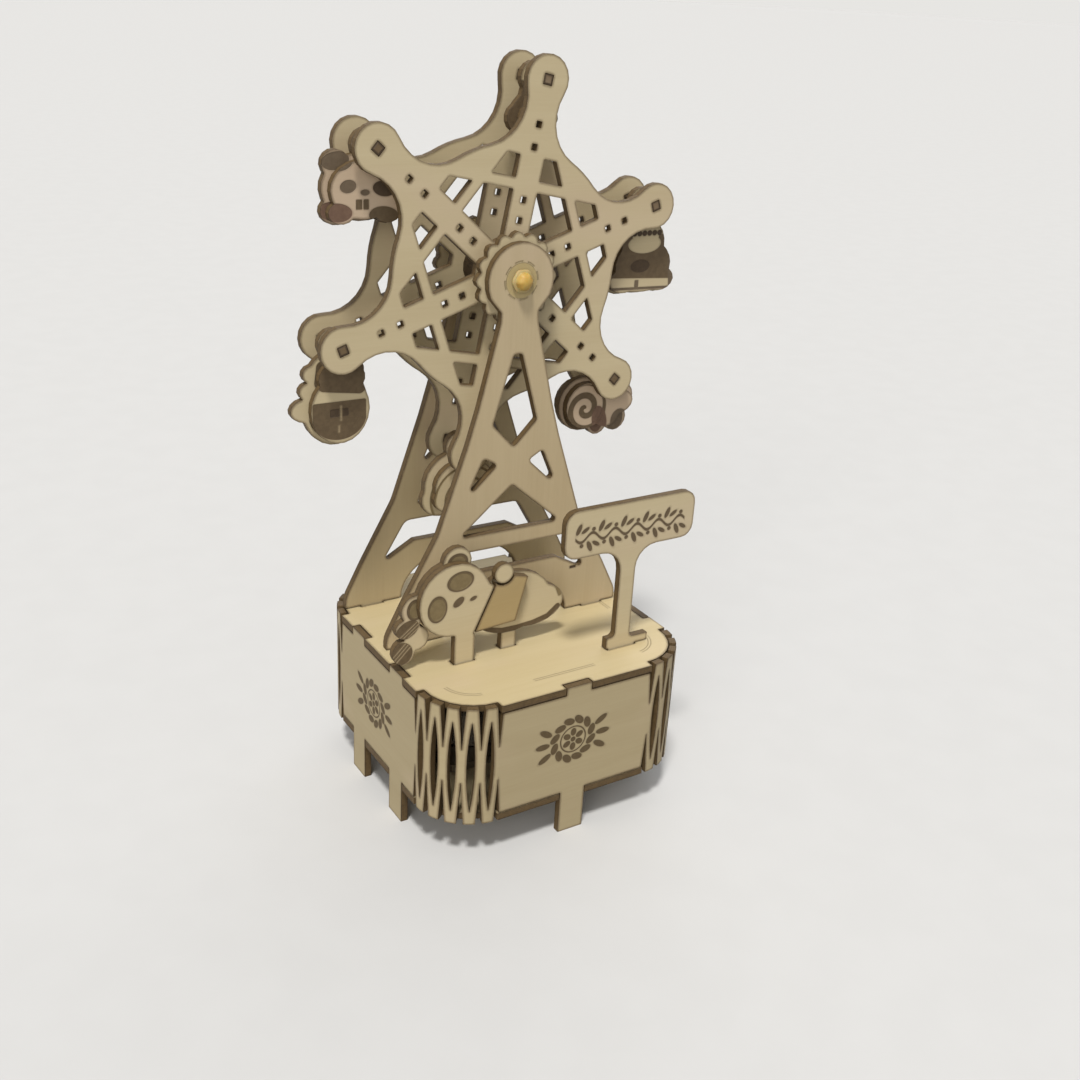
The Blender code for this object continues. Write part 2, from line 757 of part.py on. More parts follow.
def wheel_windows():
    """Openings between spokes and the six bars of the star, and the square holes along the arms."""
    sector = 2 * pi / ARM_COUNT
    lean_low = (BAR_INNER - BAR_OUTER * cos(sector)) / sin(sector)
    lean_high = (BAR_INNER - WINDOW_END * cos(sector)) / sin(sector)
    side = [(BAR_OUTER, SPOKE_HALF), (WINDOW_END, SPOKE_HALF), (WINDOW_END, lean_high), (BAR_OUTER, lean_low)]
    middle = sector / 2
    crown = BAR_INNER / cos(middle)
    edge_angle = atan2(SPOKE_HALF, BAR_INNER)
    edge_reach = hypot(SPOKE_HALF, BAR_INNER)
    inner = [(edge_reach * cos(edge_angle), edge_reach * sin(edge_angle))]
    inner.append((crown * cos(middle), crown * sin(middle)))
    inner.append((edge_reach * cos(sector - edge_angle), edge_reach * sin(sector - edge_angle)))
    hub_angle = atan2(SPOKE_HALF, sqrt(HUB_R ** 2 - SPOKE_HALF ** 2))
    inner += arc(0, 0, HUB_R, sector - hub_angle, hub_angle)
    pin_hole = [(x + WHEEL_R, z) for x, z in square(PIN_HALF + FIT)]
    shapes = [side, [(x, -z) for x, z in reversed(side)], inner, pin_hole]
    for share in ARM_HOLE_SHARES:
        shapes.append([(x + share * WHEEL_R, z) for x, z in square(ARM_HOLE_HALF)])
    windows = [circle(0, 0, BORE_R)]
    for count in range(ARM_COUNT):
        for shape in shapes:
            windows.append(turned_by(shape, count * sector))
    return windows


def scallop_outline():
    """Round disc whose edge swells into bumps."""
    points = []
    steps = SCALLOP_COUNT * SCALLOP_STEPS
    for index in range(steps):
        angle = 2 * pi * index / steps
        swell = abs(sin(angle * SCALLOP_COUNT / 2))
        radius = SCALLOP_R - SCALLOP_DEPTH + 2 * SCALLOP_DEPTH * swell
        points.append((radius * cos(angle), radius * sin(angle)))
    return points


def gondola_eye():
    """Eye of the middle sheet round the pin: its outer lobe and its hole."""
    hole = PIN_HALF * sqrt(2) + FIT
    return hole + EYE_WALL, hole


def make_gondola(kind, lobes_shares, face_shares, wood, wheel, spot):
    """Three sheets that hang from one pin: back and front pictures and the middle sheet with the eye."""
    hanger = pivot("pivot_" + kind, (spot[0], 0, spot[1]), wheel)
    lobes = [tuple(value * WHEEL_R for value in lobe) for lobe in lobes_shares]
    face = [tuple(value * WHEEL_R for value in lobe) for lobe in face_shares]
    eye_outer, eye_hole = gondola_eye()
    hang = lobes[0][1]
    neck_lobe = (0, hang / 2, EYE_NECK_HALF, -hang / 2)
    middle_lobes = lobes + [(0, 0, eye_outer, eye_outer), neck_lobe]
    core = extruded(lobed(middle_lobes), [circle(0, 0, eye_hole)], PLY)
    place("gondola_" + kind + "_core", core, wood, (0, -PLY / 2, 0), hanger)
    front = extruded(lobed(face), [], PLY)
    place("gondola_" + kind + "_front", front, wood, (0, -PLY / 2 - FIT - PLY, 0), hanger)
    back = extruded(lobed(face), [], PLY)
    place("gondola_" + kind + "_back", back, wood, (0, PLY / 2 + FIT, 0), hanger)


def make_wheel(wood, yellow, steel):
    """Everything that turns with the axle, and the gondolas that hang from its pins."""
    wheel = pivot("wheel", (0, WHEEL_Y, AXLE_Z))
    tilt = (0, -WHEEL_TURN, 0)
    for name, front in (("wheel_plate_front", -PLATE_FRONT), ("wheel_plate_back", PLATE_FRONT - PLY)):
        maker = extruded(turned_by(wheel_outline(), pi / 2), wheel_holes_upright(), PLY)
        place(name, maker, wood, (0, front, 0), wheel, tilt)
    for name, front in (("hub_disc_front", -SCALLOP_FRONT), ("hub_disc_back", SCALLOP_FRONT - PLY)):
        maker = extruded(scallop_outline(), [circle(0, 0, BORE_R)], PLY)
        place(name, maker, wood, (0, front, 0), wheel, tilt)
    for name, front in (("hub_washer_front", -WASHER_FRONT), ("hub_washer_back", WASHER_FRONT - PLY)):
        maker = extruded(circle(0, 0, WASHER_R), [circle(0, 0, BORE_R)], PLY)
        place(name, maker, wood, (0, front, 0), wheel)
    core_length = PLATE_SPACE - 2 * FIT
    core = extruded(circle(0, 0, HUB_CORE_R), [circle(0, 0, BORE_R)], core_length)
    place("hub_core", core, wood, (0, -core_length / 2, 0), wheel)
    make_axle(yellow, steel, wheel)
    pin_length = 2 * PLATE_FRONT
    for count, (kind, lobes, face) in enumerate(GONDOLA_KINDS):
        angle = pi / 2 + WHEEL_TURN + count * 2 * pi / ARM_COUNT
        spot = (WHEEL_R * cos(angle), WHEEL_R * sin(angle))
        pin = extruded(square(PIN_HALF), [], pin_length)
        place("pin_" + kind, pin, wood, (spot[0], -PLATE_FRONT, spot[1]), wheel, (0, -angle, 0))
        make_gondola(kind, lobes, face, wood, wheel, spot)


def wheel_holes_upright():
    """The windows with the first arm pointing up."""
    return [turned_by(window, pi / 2) for window in wheel_windows()]


def make_axle(yellow, steel, wheel):
    """Steel rod through both supports, and a domed cap on each end."""
    half = SUPPORT_FRONT + FIT + CAP_HEIGHT / 2
    rod = turned([(0, -half), (AXLE_R, -half), (AXLE_R, half), (0, half)], ROD_SIDES)
    place("axle", rod, steel, (0, 0, 0), wheel, (pi / 2, 0, 0))
    bore_end = half - SUPPORT_FRONT
    profile = [(0, bore_end), (BORE_R, bore_end), (BORE_R, FIT), (CAP_R, FIT)]
    dome_low = CAP_HEIGHT - CAP_TIP
    profile += [(CAP_R, dome_low)]
    for step in range(1, DOME_STEPS):
        angle = pi / 2 * step / DOME_STEPS
        profile.append((CAP_R * cos(angle), dome_low + CAP_DOME * sin(angle)))
    profile.append((0, dome_low + CAP_DOME))
    for name, sign in (("axle_cap_front", -1), ("axle_cap_back", 1)):
        cap = turned(profile, CAP_SIDES)
        place(name, cap, yellow, (0, sign * SUPPORT_FRONT, 0), wheel, (-sign * pi / 2, 0, 0))


# Sign

def make_sign(wood):
    """Board on a post, with a foot on the top plate and a tab in it."""
    low = SIGN_RISE
    high = SIGN_RISE + SIGN_HEIGHT
    half = SIGN_WIDTH / 2
    outline = rounded([
        (half, high, SIGN_CORNER_R),
        (-half, high, SIGN_CORNER_R),
        (-half, low, SIGN_CORNER_R),
        (-SIGN_POST_HALF, low, SIGN_POST_FILLET),
        (-SIGN_POST_HALF, SIGN_FOOT_LEFT_HEIGHT, SIGN_FOOT_ROUND),
        (-SIGN_FOOT_LEFT, SIGN_FOOT_LEFT_HEIGHT, 0),
        (-SIGN_FOOT_LEFT, FIT, 0),
        (-SIGN_TAB_HALF, FIT, 0),
        (-SIGN_TAB_HALF, -PLY, 0),
        (SIGN_TAB_HALF, -PLY, 0),
        (SIGN_TAB_HALF, FIT, 0),
        (SIGN_FOOT_RIGHT, FIT, 0),
        (SIGN_FOOT_RIGHT, SIGN_FOOT_RIGHT_HEIGHT, 0),
        (SIGN_POST_HALF, SIGN_FOOT_RIGHT_HEIGHT, SIGN_FOOT_ROUND),
        (SIGN_POST_HALF, low, SIGN_POST_FILLET),
        (half, low, SIGN_CORNER_R),
    ])
    place("sign", extruded(outline, [], PLY), wood, (SIGN_X, SIGN_Y, Z_TOP))


# Panda

def panda_head_outline():
    """Head disc that runs into a shoulder and a foreleg, with the foreleg's tab."""
    radius = PANDA_HEAD_R
    leg_left = PANDA_LEG_SHARE * radius - PANDA_LEG_HALF
    leg_right = PANDA_LEG_SHARE * radius + PANDA_LEG_HALF
    ground = FIT - PANDA_HEAD_RISE
    shoulder = (PANDA_SHOULDER_SHARES[0] * radius, PANDA_SHOULDER_SHARES[1] * radius)
    elbow = (PANDA_ELBOW_SHARES[0] * radius, PANDA_ELBOW_SHARES[1] * radius)
    points = arc(0, 0, radius, PANDA_NAPE, 3 * pi / 2 + asin(leg_left / radius))
    points += [(leg_left, ground - FIT - PLY), (leg_right, ground - FIT - PLY)]
    points += [(leg_right, elbow[1]), elbow]
    points += arc(shoulder[0] - PANDA_ROUND, shoulder[1], PANDA_ROUND, -pi / 6, pi / 2)
    return points


def with_leg(outline, middle, half, low):
    """The outline with a leg let down from its underside."""
    points = []
    for start, end in zip(outline, outline[1:] + outline[:1]):
        inside = abs(start[0] - middle) < half and start[1] < end[1] + half and is_under(outline, start)
        if not inside:
            points.append(start)
        for edge in (middle - half, middle + half):
            crosses = (start[0] - edge) * (end[0] - edge) < 0
            if crosses and end[0] > start[0]:
                share = (edge - start[0]) / (end[0] - start[0])
                height = start[1] + share * (end[1] - start[1])
                ends = [(edge, height), (edge, low)]
                points += ends if edge < middle else ends[::-1]
    return points


def is_under(outline, point):
    """Whether a point of an outline lies in its lower half."""
    heights = [z for _, z in outline]
    return point[1] < (min(heights) + max(heights)) / 2


def panda_body_outline():
    """Silhouette behind the head: ears, back, leaf sprig and the hind foot with its tab."""
    radius = PANDA_HEAD_R
    lobes = [tuple(value * radius for value in lobe) for lobe in PANDA_BODY_SHARES]
    outline = lobed(lobes)
    return with_leg(outline, PANDA_FOOT_SHARE * radius, PANDA_FOOT_HALF, -PANDA_HEAD_RISE - PLY)


def panda_blanket_outline():
    """Blanket between the foreleg and the rump, hollowed where the paw lies."""
    radius = PANDA_HEAD_R
    gap = 2 * FIT
    elbow, rump, back = [(x * radius, z * radius) for x, z in PANDA_BLANKET_SHARES]
    shoulder = (PANDA_SHOULDER_SHARES[0] * radius + gap, PANDA_SHOULDER_SHARES[1] * radius)
    paw_x, paw_z, paw_r = (share * radius for share in PANDA_PAW_SHARES)
    hollow = arc(paw_x, paw_z, paw_r + gap, PANDA_PAW_OPEN, -pi - PANDA_PAW_OPEN * 2)
    return [(elbow[0] + gap, elbow[1]), rump, back] + hollow + [shoulder]


def make_panda(wood, blanket):
    """Lying panda of two layers: head, paw and blanket in front of the body."""
    rise = Z_TOP + PANDA_HEAD_RISE
    place("panda_head", extruded(panda_head_outline(), [], PLY), wood, (PANDA_X, PANDA_Y, rise))
    behind = PANDA_Y + PLY + FIT
    place("panda_body", extruded(panda_body_outline(), [], PLY), wood, (PANDA_X, behind, rise))
    cover = extruded(panda_blanket_outline(), [], PLY)
    place("panda_blanket", cover, blanket, (PANDA_X, PANDA_Y, rise))
    paw_x, paw_z, paw_r = (share * PANDA_HEAD_R for share in PANDA_PAW_SHARES)
    paw = extruded(circle(paw_x, paw_z, paw_r), [], PLY)
    place("panda_paw", paw, wood, (PANDA_X, PANDA_Y, rise))


# Musical movement and its key

def bearing_outline(rise):
    """Upright tongue with a round head about the arbor."""
    return [(-BEARING_HALF, -rise)] + [(BEARING_HALF, -rise)] + arc(0, 0, BEARING_HALF, 0, pi)


def comb_outline():
    """Comb plate with a slit between each pair of teeth; the teeth point to the drum."""
    tip = DRUM_X + DRUM_R + FIT
    root = COMB_END_X - COMB_BACK
    pitch = 2 * DRUM_HALF / COMB_TEETH
    points = [(COMB_END_X, -DRUM_HALF), (COMB_END_X, DRUM_HALF), (tip, DRUM_HALF)]
    for count in range(1, COMB_TEETH):
        slit = DRUM_HALF - count * pitch
        high = slit + COMB_SLIT / 2
        low = slit - COMB_SLIT / 2
        points += [(tip, high), (root, high), (root, low), (tip, low)]
    points.append((tip, -DRUM_HALF))
    return points


def make_barrel(steel, deck):
    """Spring housing over the winding key, with the blind bore that takes the key's shaft."""
    bore = KEY_SHAFT_R + FIT
    inner = BARREL_R - BARREL_LIP
    profile = [(0, KEY_DEPTH), (bore, KEY_DEPTH), (bore, 0), (BARREL_R, 0), (BARREL_R, BARREL_LIP)]
    profile += [(inner, 2 * BARREL_LIP), (inner, BARREL_HEIGHT - BARREL_LIP)]
    profile += [(inner - BARREL_LIP, BARREL_HEIGHT), (0, BARREL_HEIGHT)]
    place("movement_barrel", turned(profile, BARREL_SIDES), steel, (BARREL_X, 0, deck))


def make_drum(brass, steel, deck):
    """Pinned drum on its arbor, between two bearings."""
    axis_z = deck + DRUM_RISE
    end = DRUM_HALF + RUN + BEARING_THICK
    profile = [(0, -end), (ARBOR_R, -end), (ARBOR_R, -DRUM_HALF), (DRUM_R, -DRUM_HALF)]
    profile += [(DRUM_R, DRUM_HALF), (ARBOR_R, DRUM_HALF), (ARBOR_R, end), (0, end)]
    carrier = pivot("drum_axis", (DRUM_X, 0, axis_z))
    place("movement_drum", turned(profile, DRUM_SIDES), brass, (0, 0, 0), carrier, (pi / 2, 0, 0))
    bearings = (("front", -end), ("back", end - BEARING_THICK))
    for side, front in bearings:
        hole = circle(0, 0, ARBOR_R + FIT)
        tongue = extruded(bearing_outline(DRUM_RISE), [hole], BEARING_THICK)
        place("movement_bearing_" + side, tongue, steel, (DRUM_X, front, axis_z))


def make_comb(steel, deck):
    """Comb at the height of the drum's axis, on its block."""
    low = deck + DRUM_RISE - COMB_THICK / 2
    comb = extruded(comb_outline(), [], COMB_THICK, upright=False)
    place("movement_comb", comb, steel, (0, 0, low))
    foot = rectangle(COMB_END_X - COMB_BACK, COMB_END_X, -DRUM_HALF, DRUM_HALF)
    block = extruded(foot, [], low - FIT - deck, upright=False)
    place("movement_comb_block", block, steel, (0, 0, deck))


def make_governor(brass, deck):
    """Small upright spindle with the fan that steadies the speed."""
    neck = GOVERNOR_R * GOVERNOR_NECK_SHARE
    fan_low = GOVERNOR_HEIGHT * GOVERNOR_FAN_SHARE
    fan_high = GOVERNOR_HEIGHT - GOVERNOR_FLANGE
    profile = [(0, 0), (GOVERNOR_R, 0), (GOVERNOR_R, GOVERNOR_FLANGE), (neck, GOVERNOR_FLANGE)]
    profile += [(neck, fan_low), (GOVERNOR_R, fan_low), (GOVERNOR_R, fan_high)]
    profile += [(neck, fan_high), (neck, GOVERNOR_HEIGHT), (0, GOVERNOR_HEIGHT)]
    place("movement_governor", turned(profile, ROD_SIDES), brass, (GOVERNOR_X, GOVERNOR_Y, deck))


def make_key(steel, deck):
    """Winding key under the base: shaft, collar and a winged grip joined to them."""
    carrier = pivot("key_axis", (BARREL_X, 0, 0))
    top = deck + KEY_DEPTH - FIT
    collar_top = Z_BOTTOM - RUN
    collar_low = collar_top - KEY_COLLAR_HEIGHT
    profile = [(0, collar_low), (KEY_COLLAR_R, collar_low), (KEY_COLLAR_R, collar_top)]
    profile += [(KEY_SHAFT_R, collar_top), (KEY_SHAFT_R, top), (0, top)]
    key = place("winding_key", turned(profile, KEY_SIDES), steel, (0, 0, 0), carrier)
    waist = KEY_WING_HEIGHT * KEY_WAIST_SHARE
    wing_top = collar_low + KEY_COLLAR_HEIGHT / 2
    wing_low = collar_low - KEY_WING_HEIGHT
    outline = rounded([
        (KEY_WING_HALF, wing_low, KEY_ROUND),
        (KEY_WING_HALF, collar_low, KEY_ROUND),
        (KEY_COLLAR_R / 2, collar_low - waist, 0),
        (KEY_COLLAR_R / 2, wing_top, 0),
        (-KEY_COLLAR_R / 2, wing_top, 0),
        (-KEY_COLLAR_R / 2, collar_low - waist, 0),
        (-KEY_WING_HALF, collar_low, KEY_ROUND),
        (-KEY_WING_HALF, wing_low, KEY_ROUND),
        (0, wing_low + waist, 0),
    ][::-1])
    wings = extruded(outline, [], KEY_WING_THICK)
    grip = place("key_grip_guide", wings, steel, (0, -KEY_WING_THICK / 2, 0), carrier)
    grip.hide_render = True
    grip.display_type = "WIRE"
    union = key.modifiers.new("grip", "BOOLEAN")
    union.operation = "UNION"
    union.object = grip


def make_movement(steel, brass):
    """Wind-up musical movement on the bottom plate."""
    bed_corners = rectangle(-BED_HALF_X, BED_HALF_X, -BED_HALF_Y, BED_HALF_Y)
    outline = rounded([(x, y, BED_CORNER_R) for x, y in bed_corners])
    bed = extruded(outline, [circle(BARREL_X, 0, KEY_SHAFT_R + RUN)], BED_THICK, upright=False)
    place("movement_bed", bed, steel, (0, 0, Z_FLOOR + FIT))
    deck = Z_FLOOR + FIT + BED_THICK + FIT
    make_barrel(steel, deck)
    make_drum(brass, steel, deck)
    make_comb(steel, deck)
    make_governor(brass, deck)
    make_key(steel, deck)


# Start of the model

for old in list(bpy.data.objects):
    bpy.data.objects.remove(old, do_unlink=True)

WOOD = paint("plywood", (0.62, 0.52, 0.38), 0.62)
PALE_WOOD = paint("plywood_pale", (0.74, 0.62, 0.41), 0.6)
YELLOW = paint("yellow_cap", (0.80, 0.55, 0.05), 0.35)
STEEL = paint("steel", (0.55, 0.54, 0.52), 0.3, 1.0)

BLANKET = paint("plywood_blanket", (0.50, 0.38, 0.20), 0.62)
BRASS = paint("brass", (0.72, 0.52, 0.20), 0.3, 1.0)

make_base(WOOD, PALE_WOOD)
make_supports(WOOD)
make_wheel(WOOD, YELLOW, STEEL)
make_sign(WOOD)
make_panda(WOOD, BLANKET)
make_movement(STEEL, BRASS)
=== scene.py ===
"""Looks of the wooden ferris wheel music box: laser-cut plywood with browned edges and engraving."""

from math import atan2, cos, hypot, pi, radians, sin

import bpy
import numpy as np
from mathutils import Matrix, Vector


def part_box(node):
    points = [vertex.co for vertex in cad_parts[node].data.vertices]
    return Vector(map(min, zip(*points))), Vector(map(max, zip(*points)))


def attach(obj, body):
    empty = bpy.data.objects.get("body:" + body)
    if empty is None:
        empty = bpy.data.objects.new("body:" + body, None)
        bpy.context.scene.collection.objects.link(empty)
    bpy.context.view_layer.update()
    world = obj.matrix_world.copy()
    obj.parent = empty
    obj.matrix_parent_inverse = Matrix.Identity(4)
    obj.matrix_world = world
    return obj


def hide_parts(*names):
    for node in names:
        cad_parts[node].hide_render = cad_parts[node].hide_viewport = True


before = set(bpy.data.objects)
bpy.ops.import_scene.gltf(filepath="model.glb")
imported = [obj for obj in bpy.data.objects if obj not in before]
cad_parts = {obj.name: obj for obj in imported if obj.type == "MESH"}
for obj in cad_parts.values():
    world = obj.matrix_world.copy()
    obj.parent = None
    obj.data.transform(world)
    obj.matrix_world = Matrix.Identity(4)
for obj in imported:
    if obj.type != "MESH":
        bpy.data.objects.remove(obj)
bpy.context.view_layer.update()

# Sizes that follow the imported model
MM = 0.001
PLY = 2.1 * MM
BASE_HALF = 41 * MM
CORNER_R = 16.5 * MM
TOP_Z = 47 * MM
AXLE_Z = 148 * MM
WHEEL_R = 50 * MM
WHEEL_TURN = radians(-11.1)
PIN_HALF = 1.05 * MM
PIN_END_HALF = 1.30 * MM
SIGN_X = 22.59 * MM
SIGN_Z = 84.95 * MM
SIGN_HALF = 21.65 * MM
KINDS = ("cone", "bear", "bird", "shell", "snail", "bell")


def pin_place(kind):
    """Where a gondola's pin stands at rest, in x and z."""
    angle = pi / 2 + WHEEL_TURN + KINDS.index(kind) * pi / 3
    return WHEEL_R * cos(angle), AXLE_Z + WHEEL_R * sin(angle)


# Node expressions

class Value:
    """A socket that takes part in arithmetic; each operation is one Math node."""

    def __init__(self, paint, socket):
        self.paint = paint
        self.socket = socket

    def math(self, operation, *others):
        made = self.paint.tree.nodes.new("ShaderNodeMath")
        made.operation = operation
        for socket, given in zip(made.inputs, (self, *others)):
            self.paint.feed(socket, given)
        return Value(self.paint, made.outputs[0])

    def __add__(self, other):
        return self.math("ADD", other)

    def __radd__(self, other):
        return self.math("ADD", other)

    def __sub__(self, other):
        return self.math("SUBTRACT", other)

    def __rsub__(self, other):
        return self.paint.number(other).math("SUBTRACT", self)

    def __mul__(self, other):
        return self.math("MULTIPLY", other)

    def __rmul__(self, other):
        return self.math("MULTIPLY", other)

    def __truediv__(self, other):
        return self.math("DIVIDE", other)

    def __rtruediv__(self, other):
        return self.paint.number(other).math("DIVIDE", self)

    def __neg__(self):
        return self.math("MULTIPLY", -1.0)

    def __abs__(self):
        return self.math("ABSOLUTE")

    def low(self, other):
        """The smaller of the two."""
        return self.math("MINIMUM", other)

    def high(self, other):
        """The larger of the two."""
        return self.math("MAXIMUM", other)

    def wave(self):
        return self.math("SINE")

    def root(self):
        return self.math("SQRT")

    def step(self, start, end):
        """Smooth rise from 0 at start to 1 at end."""
        made = self.paint.tree.nodes.new("ShaderNodeMapRange")
        made.interpolation_type = "SMOOTHSTEP"
        self.paint.feed(made.inputs["Value"], self)
        made.inputs["From Min"].default_value = start
        made.inputs["From Max"].default_value = end
        return Value(self.paint, made.outputs["Result"])


class Paint:
    """A material under construction, with the object coordinates and normal as values."""

    def __init__(self, name):
        self.material = bpy.data.materials.new(name)
        self.material.use_nodes = True
        self.tree = self.material.node_tree
        self.shader = self.tree.nodes["Principled BSDF"]
        coordinates = self.tree.nodes.new("ShaderNodeTexCoord")
        self.spot = Value(self, coordinates.outputs["Object"])
        self.x, self.y, self.z = self.parts(self.spot)
        self.facing = Value(self, coordinates.outputs["Normal"])
        self.facing_x, self.facing_y, self.facing_z = self.parts(self.facing)

    def feed(self, socket, given):
        if isinstance(given, Value):
            self.tree.links.new(given.socket, socket)
        else:
            socket.default_value = given

    def node(self, kind, settings, sockets, output=0):
        """Any other node, by type, settings and sockets."""
        made = self.tree.nodes.new("ShaderNode" + kind)
        for name, setting in settings.items():
            setattr(made, name, setting)
        for name, given in sockets.items():
            self.feed(made.inputs[name], given)
        return Value(self, made.outputs[output])

    def number(self, amount):
        made = self.tree.nodes.new("ShaderNodeValue")
        made.outputs[0].default_value = amount
        return Value(self, made.outputs[0])

    def parts(self, vector):
        made = self.tree.nodes.new("ShaderNodeSeparateXYZ")
        self.feed(made.inputs[0], vector)
        return tuple(Value(self, socket) for socket in made.outputs)

    def vector(self, x, y, z):
        return self.node("CombineXYZ", {}, {"X": x, "Y": y, "Z": z})

    def noise(self, vector, scale=1.0, detail=2.0, roughness=0.5):
        return self.node("TexNoise", {"noise_dimensions": "3D"},
                         {"Vector": vector, "Scale": scale, "Detail": detail, "Roughness": roughness})

    def mix(self, first, second, share):
        """Colour between two."""
        made = self.tree.nodes.new("ShaderNodeMix")
        made.data_type = "RGBA"
        self.feed(made.inputs["Factor"], share)
        for socket, given in ((made.inputs[6], first), (made.inputs[7], second)):
            self.feed(socket, given if isinstance(given, Value) else (*given, 1.0))
        return Value(self, made.outputs[2])

    def bump(self, height, distance, strength):
        return self.node("Bump", {}, {"Height": height, "Distance": distance, "Strength": strength})

    def finish(self, colour, roughness, normal=None, **constants):
        self.feed(self.shader.inputs["Base Color"], colour)
        self.feed(self.shader.inputs["Roughness"], roughness)
        if normal is not None:
            self.feed(self.shader.inputs["Normal"], normal)
        for name, amount in constants.items():
            self.shader.inputs[name.replace("_", " ")].default_value = amount
        return self.material


# Drawn marks: how far inside a shape a point is, in metres

def away(dx, dz):
    """Distance of a point from a centre."""
    return (dx * dx + dz * dz).root()


def turned_pair(dx, dz, angle):
    """Offsets seen in axes turned by an angle."""
    return dx * cos(angle) + dz * sin(angle), dz * cos(angle) - dx * sin(angle)


def oval(x, z, centre, radii, angle=0.0):
    """Inside an ellipse, turned by an angle."""
    dx, dz = turned_pair(x - centre[0], z - centre[1], angle)
    return (1 - away(dx / radii[0], dz / radii[1])) * min(radii)


def ring(x, z, centre, radius, half_width):
    """Inside a circular line."""
    return half_width - abs(away(x - centre[0], z - centre[1]) - radius)


def panel(x, z, centre, halves, angle=0.0, corner=0.0):
    """Inside a rectangle with rounded corners."""
    dx, dz = turned_pair(x - centre[0], z - centre[1], angle)
    over_x = abs(dx) - (halves[0] - corner)
    over_z = abs(dz) - (halves[1] - corner)
    beyond = away(over_x.high(0.0), over_z.high(0.0))
    return corner - beyond - over_x.high(over_z).low(0.0)


def stroke(x, z, start, end, half_width):
    """Inside a straight line with round ends."""
    length = hypot(end[0] - start[0], end[1] - start[1])
    angle = atan2(end[1] - start[1], end[0] - start[0])
    along, across = turned_pair(x - start[0], z - start[1], angle)
    beyond = (along - length).high(-along).high(0.0)
    return half_width - away(beyond, across)


def joined(shapes):
    """Inside any of several shapes."""
    whole = shapes[0]
    for shape in shapes[1:]:
        whole = whole.high(shape)
    return whole


# Plywood

FACE_LIGHT = (0.536, 0.449, 0.284)
FACE_DARK = (0.445, 0.358, 0.212)
FACE_PINK = (0.515, 0.395, 0.280)
PINK_DARK = (0.440, 0.335, 0.226)
SUPPORT_LIGHT = (0.485, 0.392, 0.245)
SUPPORT_DARK = (0.400, 0.312, 0.184)
# Back support: the support's wood darkened as painted shade, for the shadow that the parts in front cast on
# it
SHADED_BACK_LIGHT = (0.425, 0.345, 0.207)
SHADED_BACK_DARK = (0.350, 0.274, 0.155)
# Base wall: wood tones darkened as painted shade for the dim light low on the base, also used on the bottom
# plate
SHADED_WALL_LIGHT = (0.410, 0.334, 0.198)
SHADED_WALL_DARK = (0.345, 0.272, 0.152)
TOP_LIGHT = (0.505, 0.414, 0.240)
TOP_DARK = (0.443, 0.353, 0.190)
TAN_LIGHT = (0.390, 0.290, 0.140)
TAN_DARK = (0.320, 0.228, 0.100)
PIN_LIGHT = (0.150, 0.100, 0.050)
PIN_DARK = (0.090, 0.058, 0.027)
EDGE_LIGHT = (0.112, 0.070, 0.027)
EDGE_DARK = (0.030, 0.017, 0.006)
SMOKE = (0.095, 0.060, 0.028)

# Burns of the laser: a lighter and a darker tone each
BROWN = ((0.136, 0.094, 0.050), (0.080, 0.053, 0.027))
DEEP = ((0.078, 0.050, 0.027), (0.044, 0.028, 0.015))
GREY = ((0.158, 0.116, 0.074), (0.104, 0.074, 0.046))
GARLAND = ((0.118, 0.080, 0.036), (0.074, 0.048, 0.020))
RED = ((0.180, 0.108, 0.070), (0.112, 0.064, 0.042))
OLIVE = ((0.225, 0.168, 0.082), (0.160, 0.116, 0.054))
FAINT = ((0.330, 0.262, 0.150), (0.270, 0.208, 0.112))
TOASTED = ((0.430, 0.338, 0.168), (0.402, 0.310, 0.145))
VEIN = ((0.300, 0.228, 0.132), (0.230, 0.170, 0.096))

SMOKE_REACH = 0.80 * MM
RASTER_STEP = 0.22 * MM
BURN_SOFT = 0.05 * MM
BURN_EDGE = 0.16 * MM
HALO_REACH = 0.40 * MM
GRAIN_DEPTH = 0.18 * MM


def no_marks(paint):
    """No engraving."""
    return []


def sheet_axes(paint, lie, low):
    """How squarely the surface faces across the sheet, how deep in it, and two directions in it."""
    if lie == "level":
        return abs(paint.facing_z), (paint.z - low[2]) / PLY, paint.x, paint.y
    if lie == "upright":
        return abs(paint.facing_y), (paint.y - low[1]) / PLY, paint.x, paint.z
    flat = BASE_HALF - CORNER_R
    over_x = (abs(paint.x) - flat).high(0.0)
    over_y = (abs(paint.y) - flat).high(0.0)
    reach = away(over_x, over_y)
    out_x = over_x * paint.x.math("SIGN") / reach
    out_y = over_y * paint.y.math("SIGN") / reach
    square = abs(paint.facing_x * out_x + paint.facing_y * out_y)
    round_way = abs(paint.x) - abs(paint.y)
    return square, (CORNER_R - reach) / PLY, round_way, paint.z


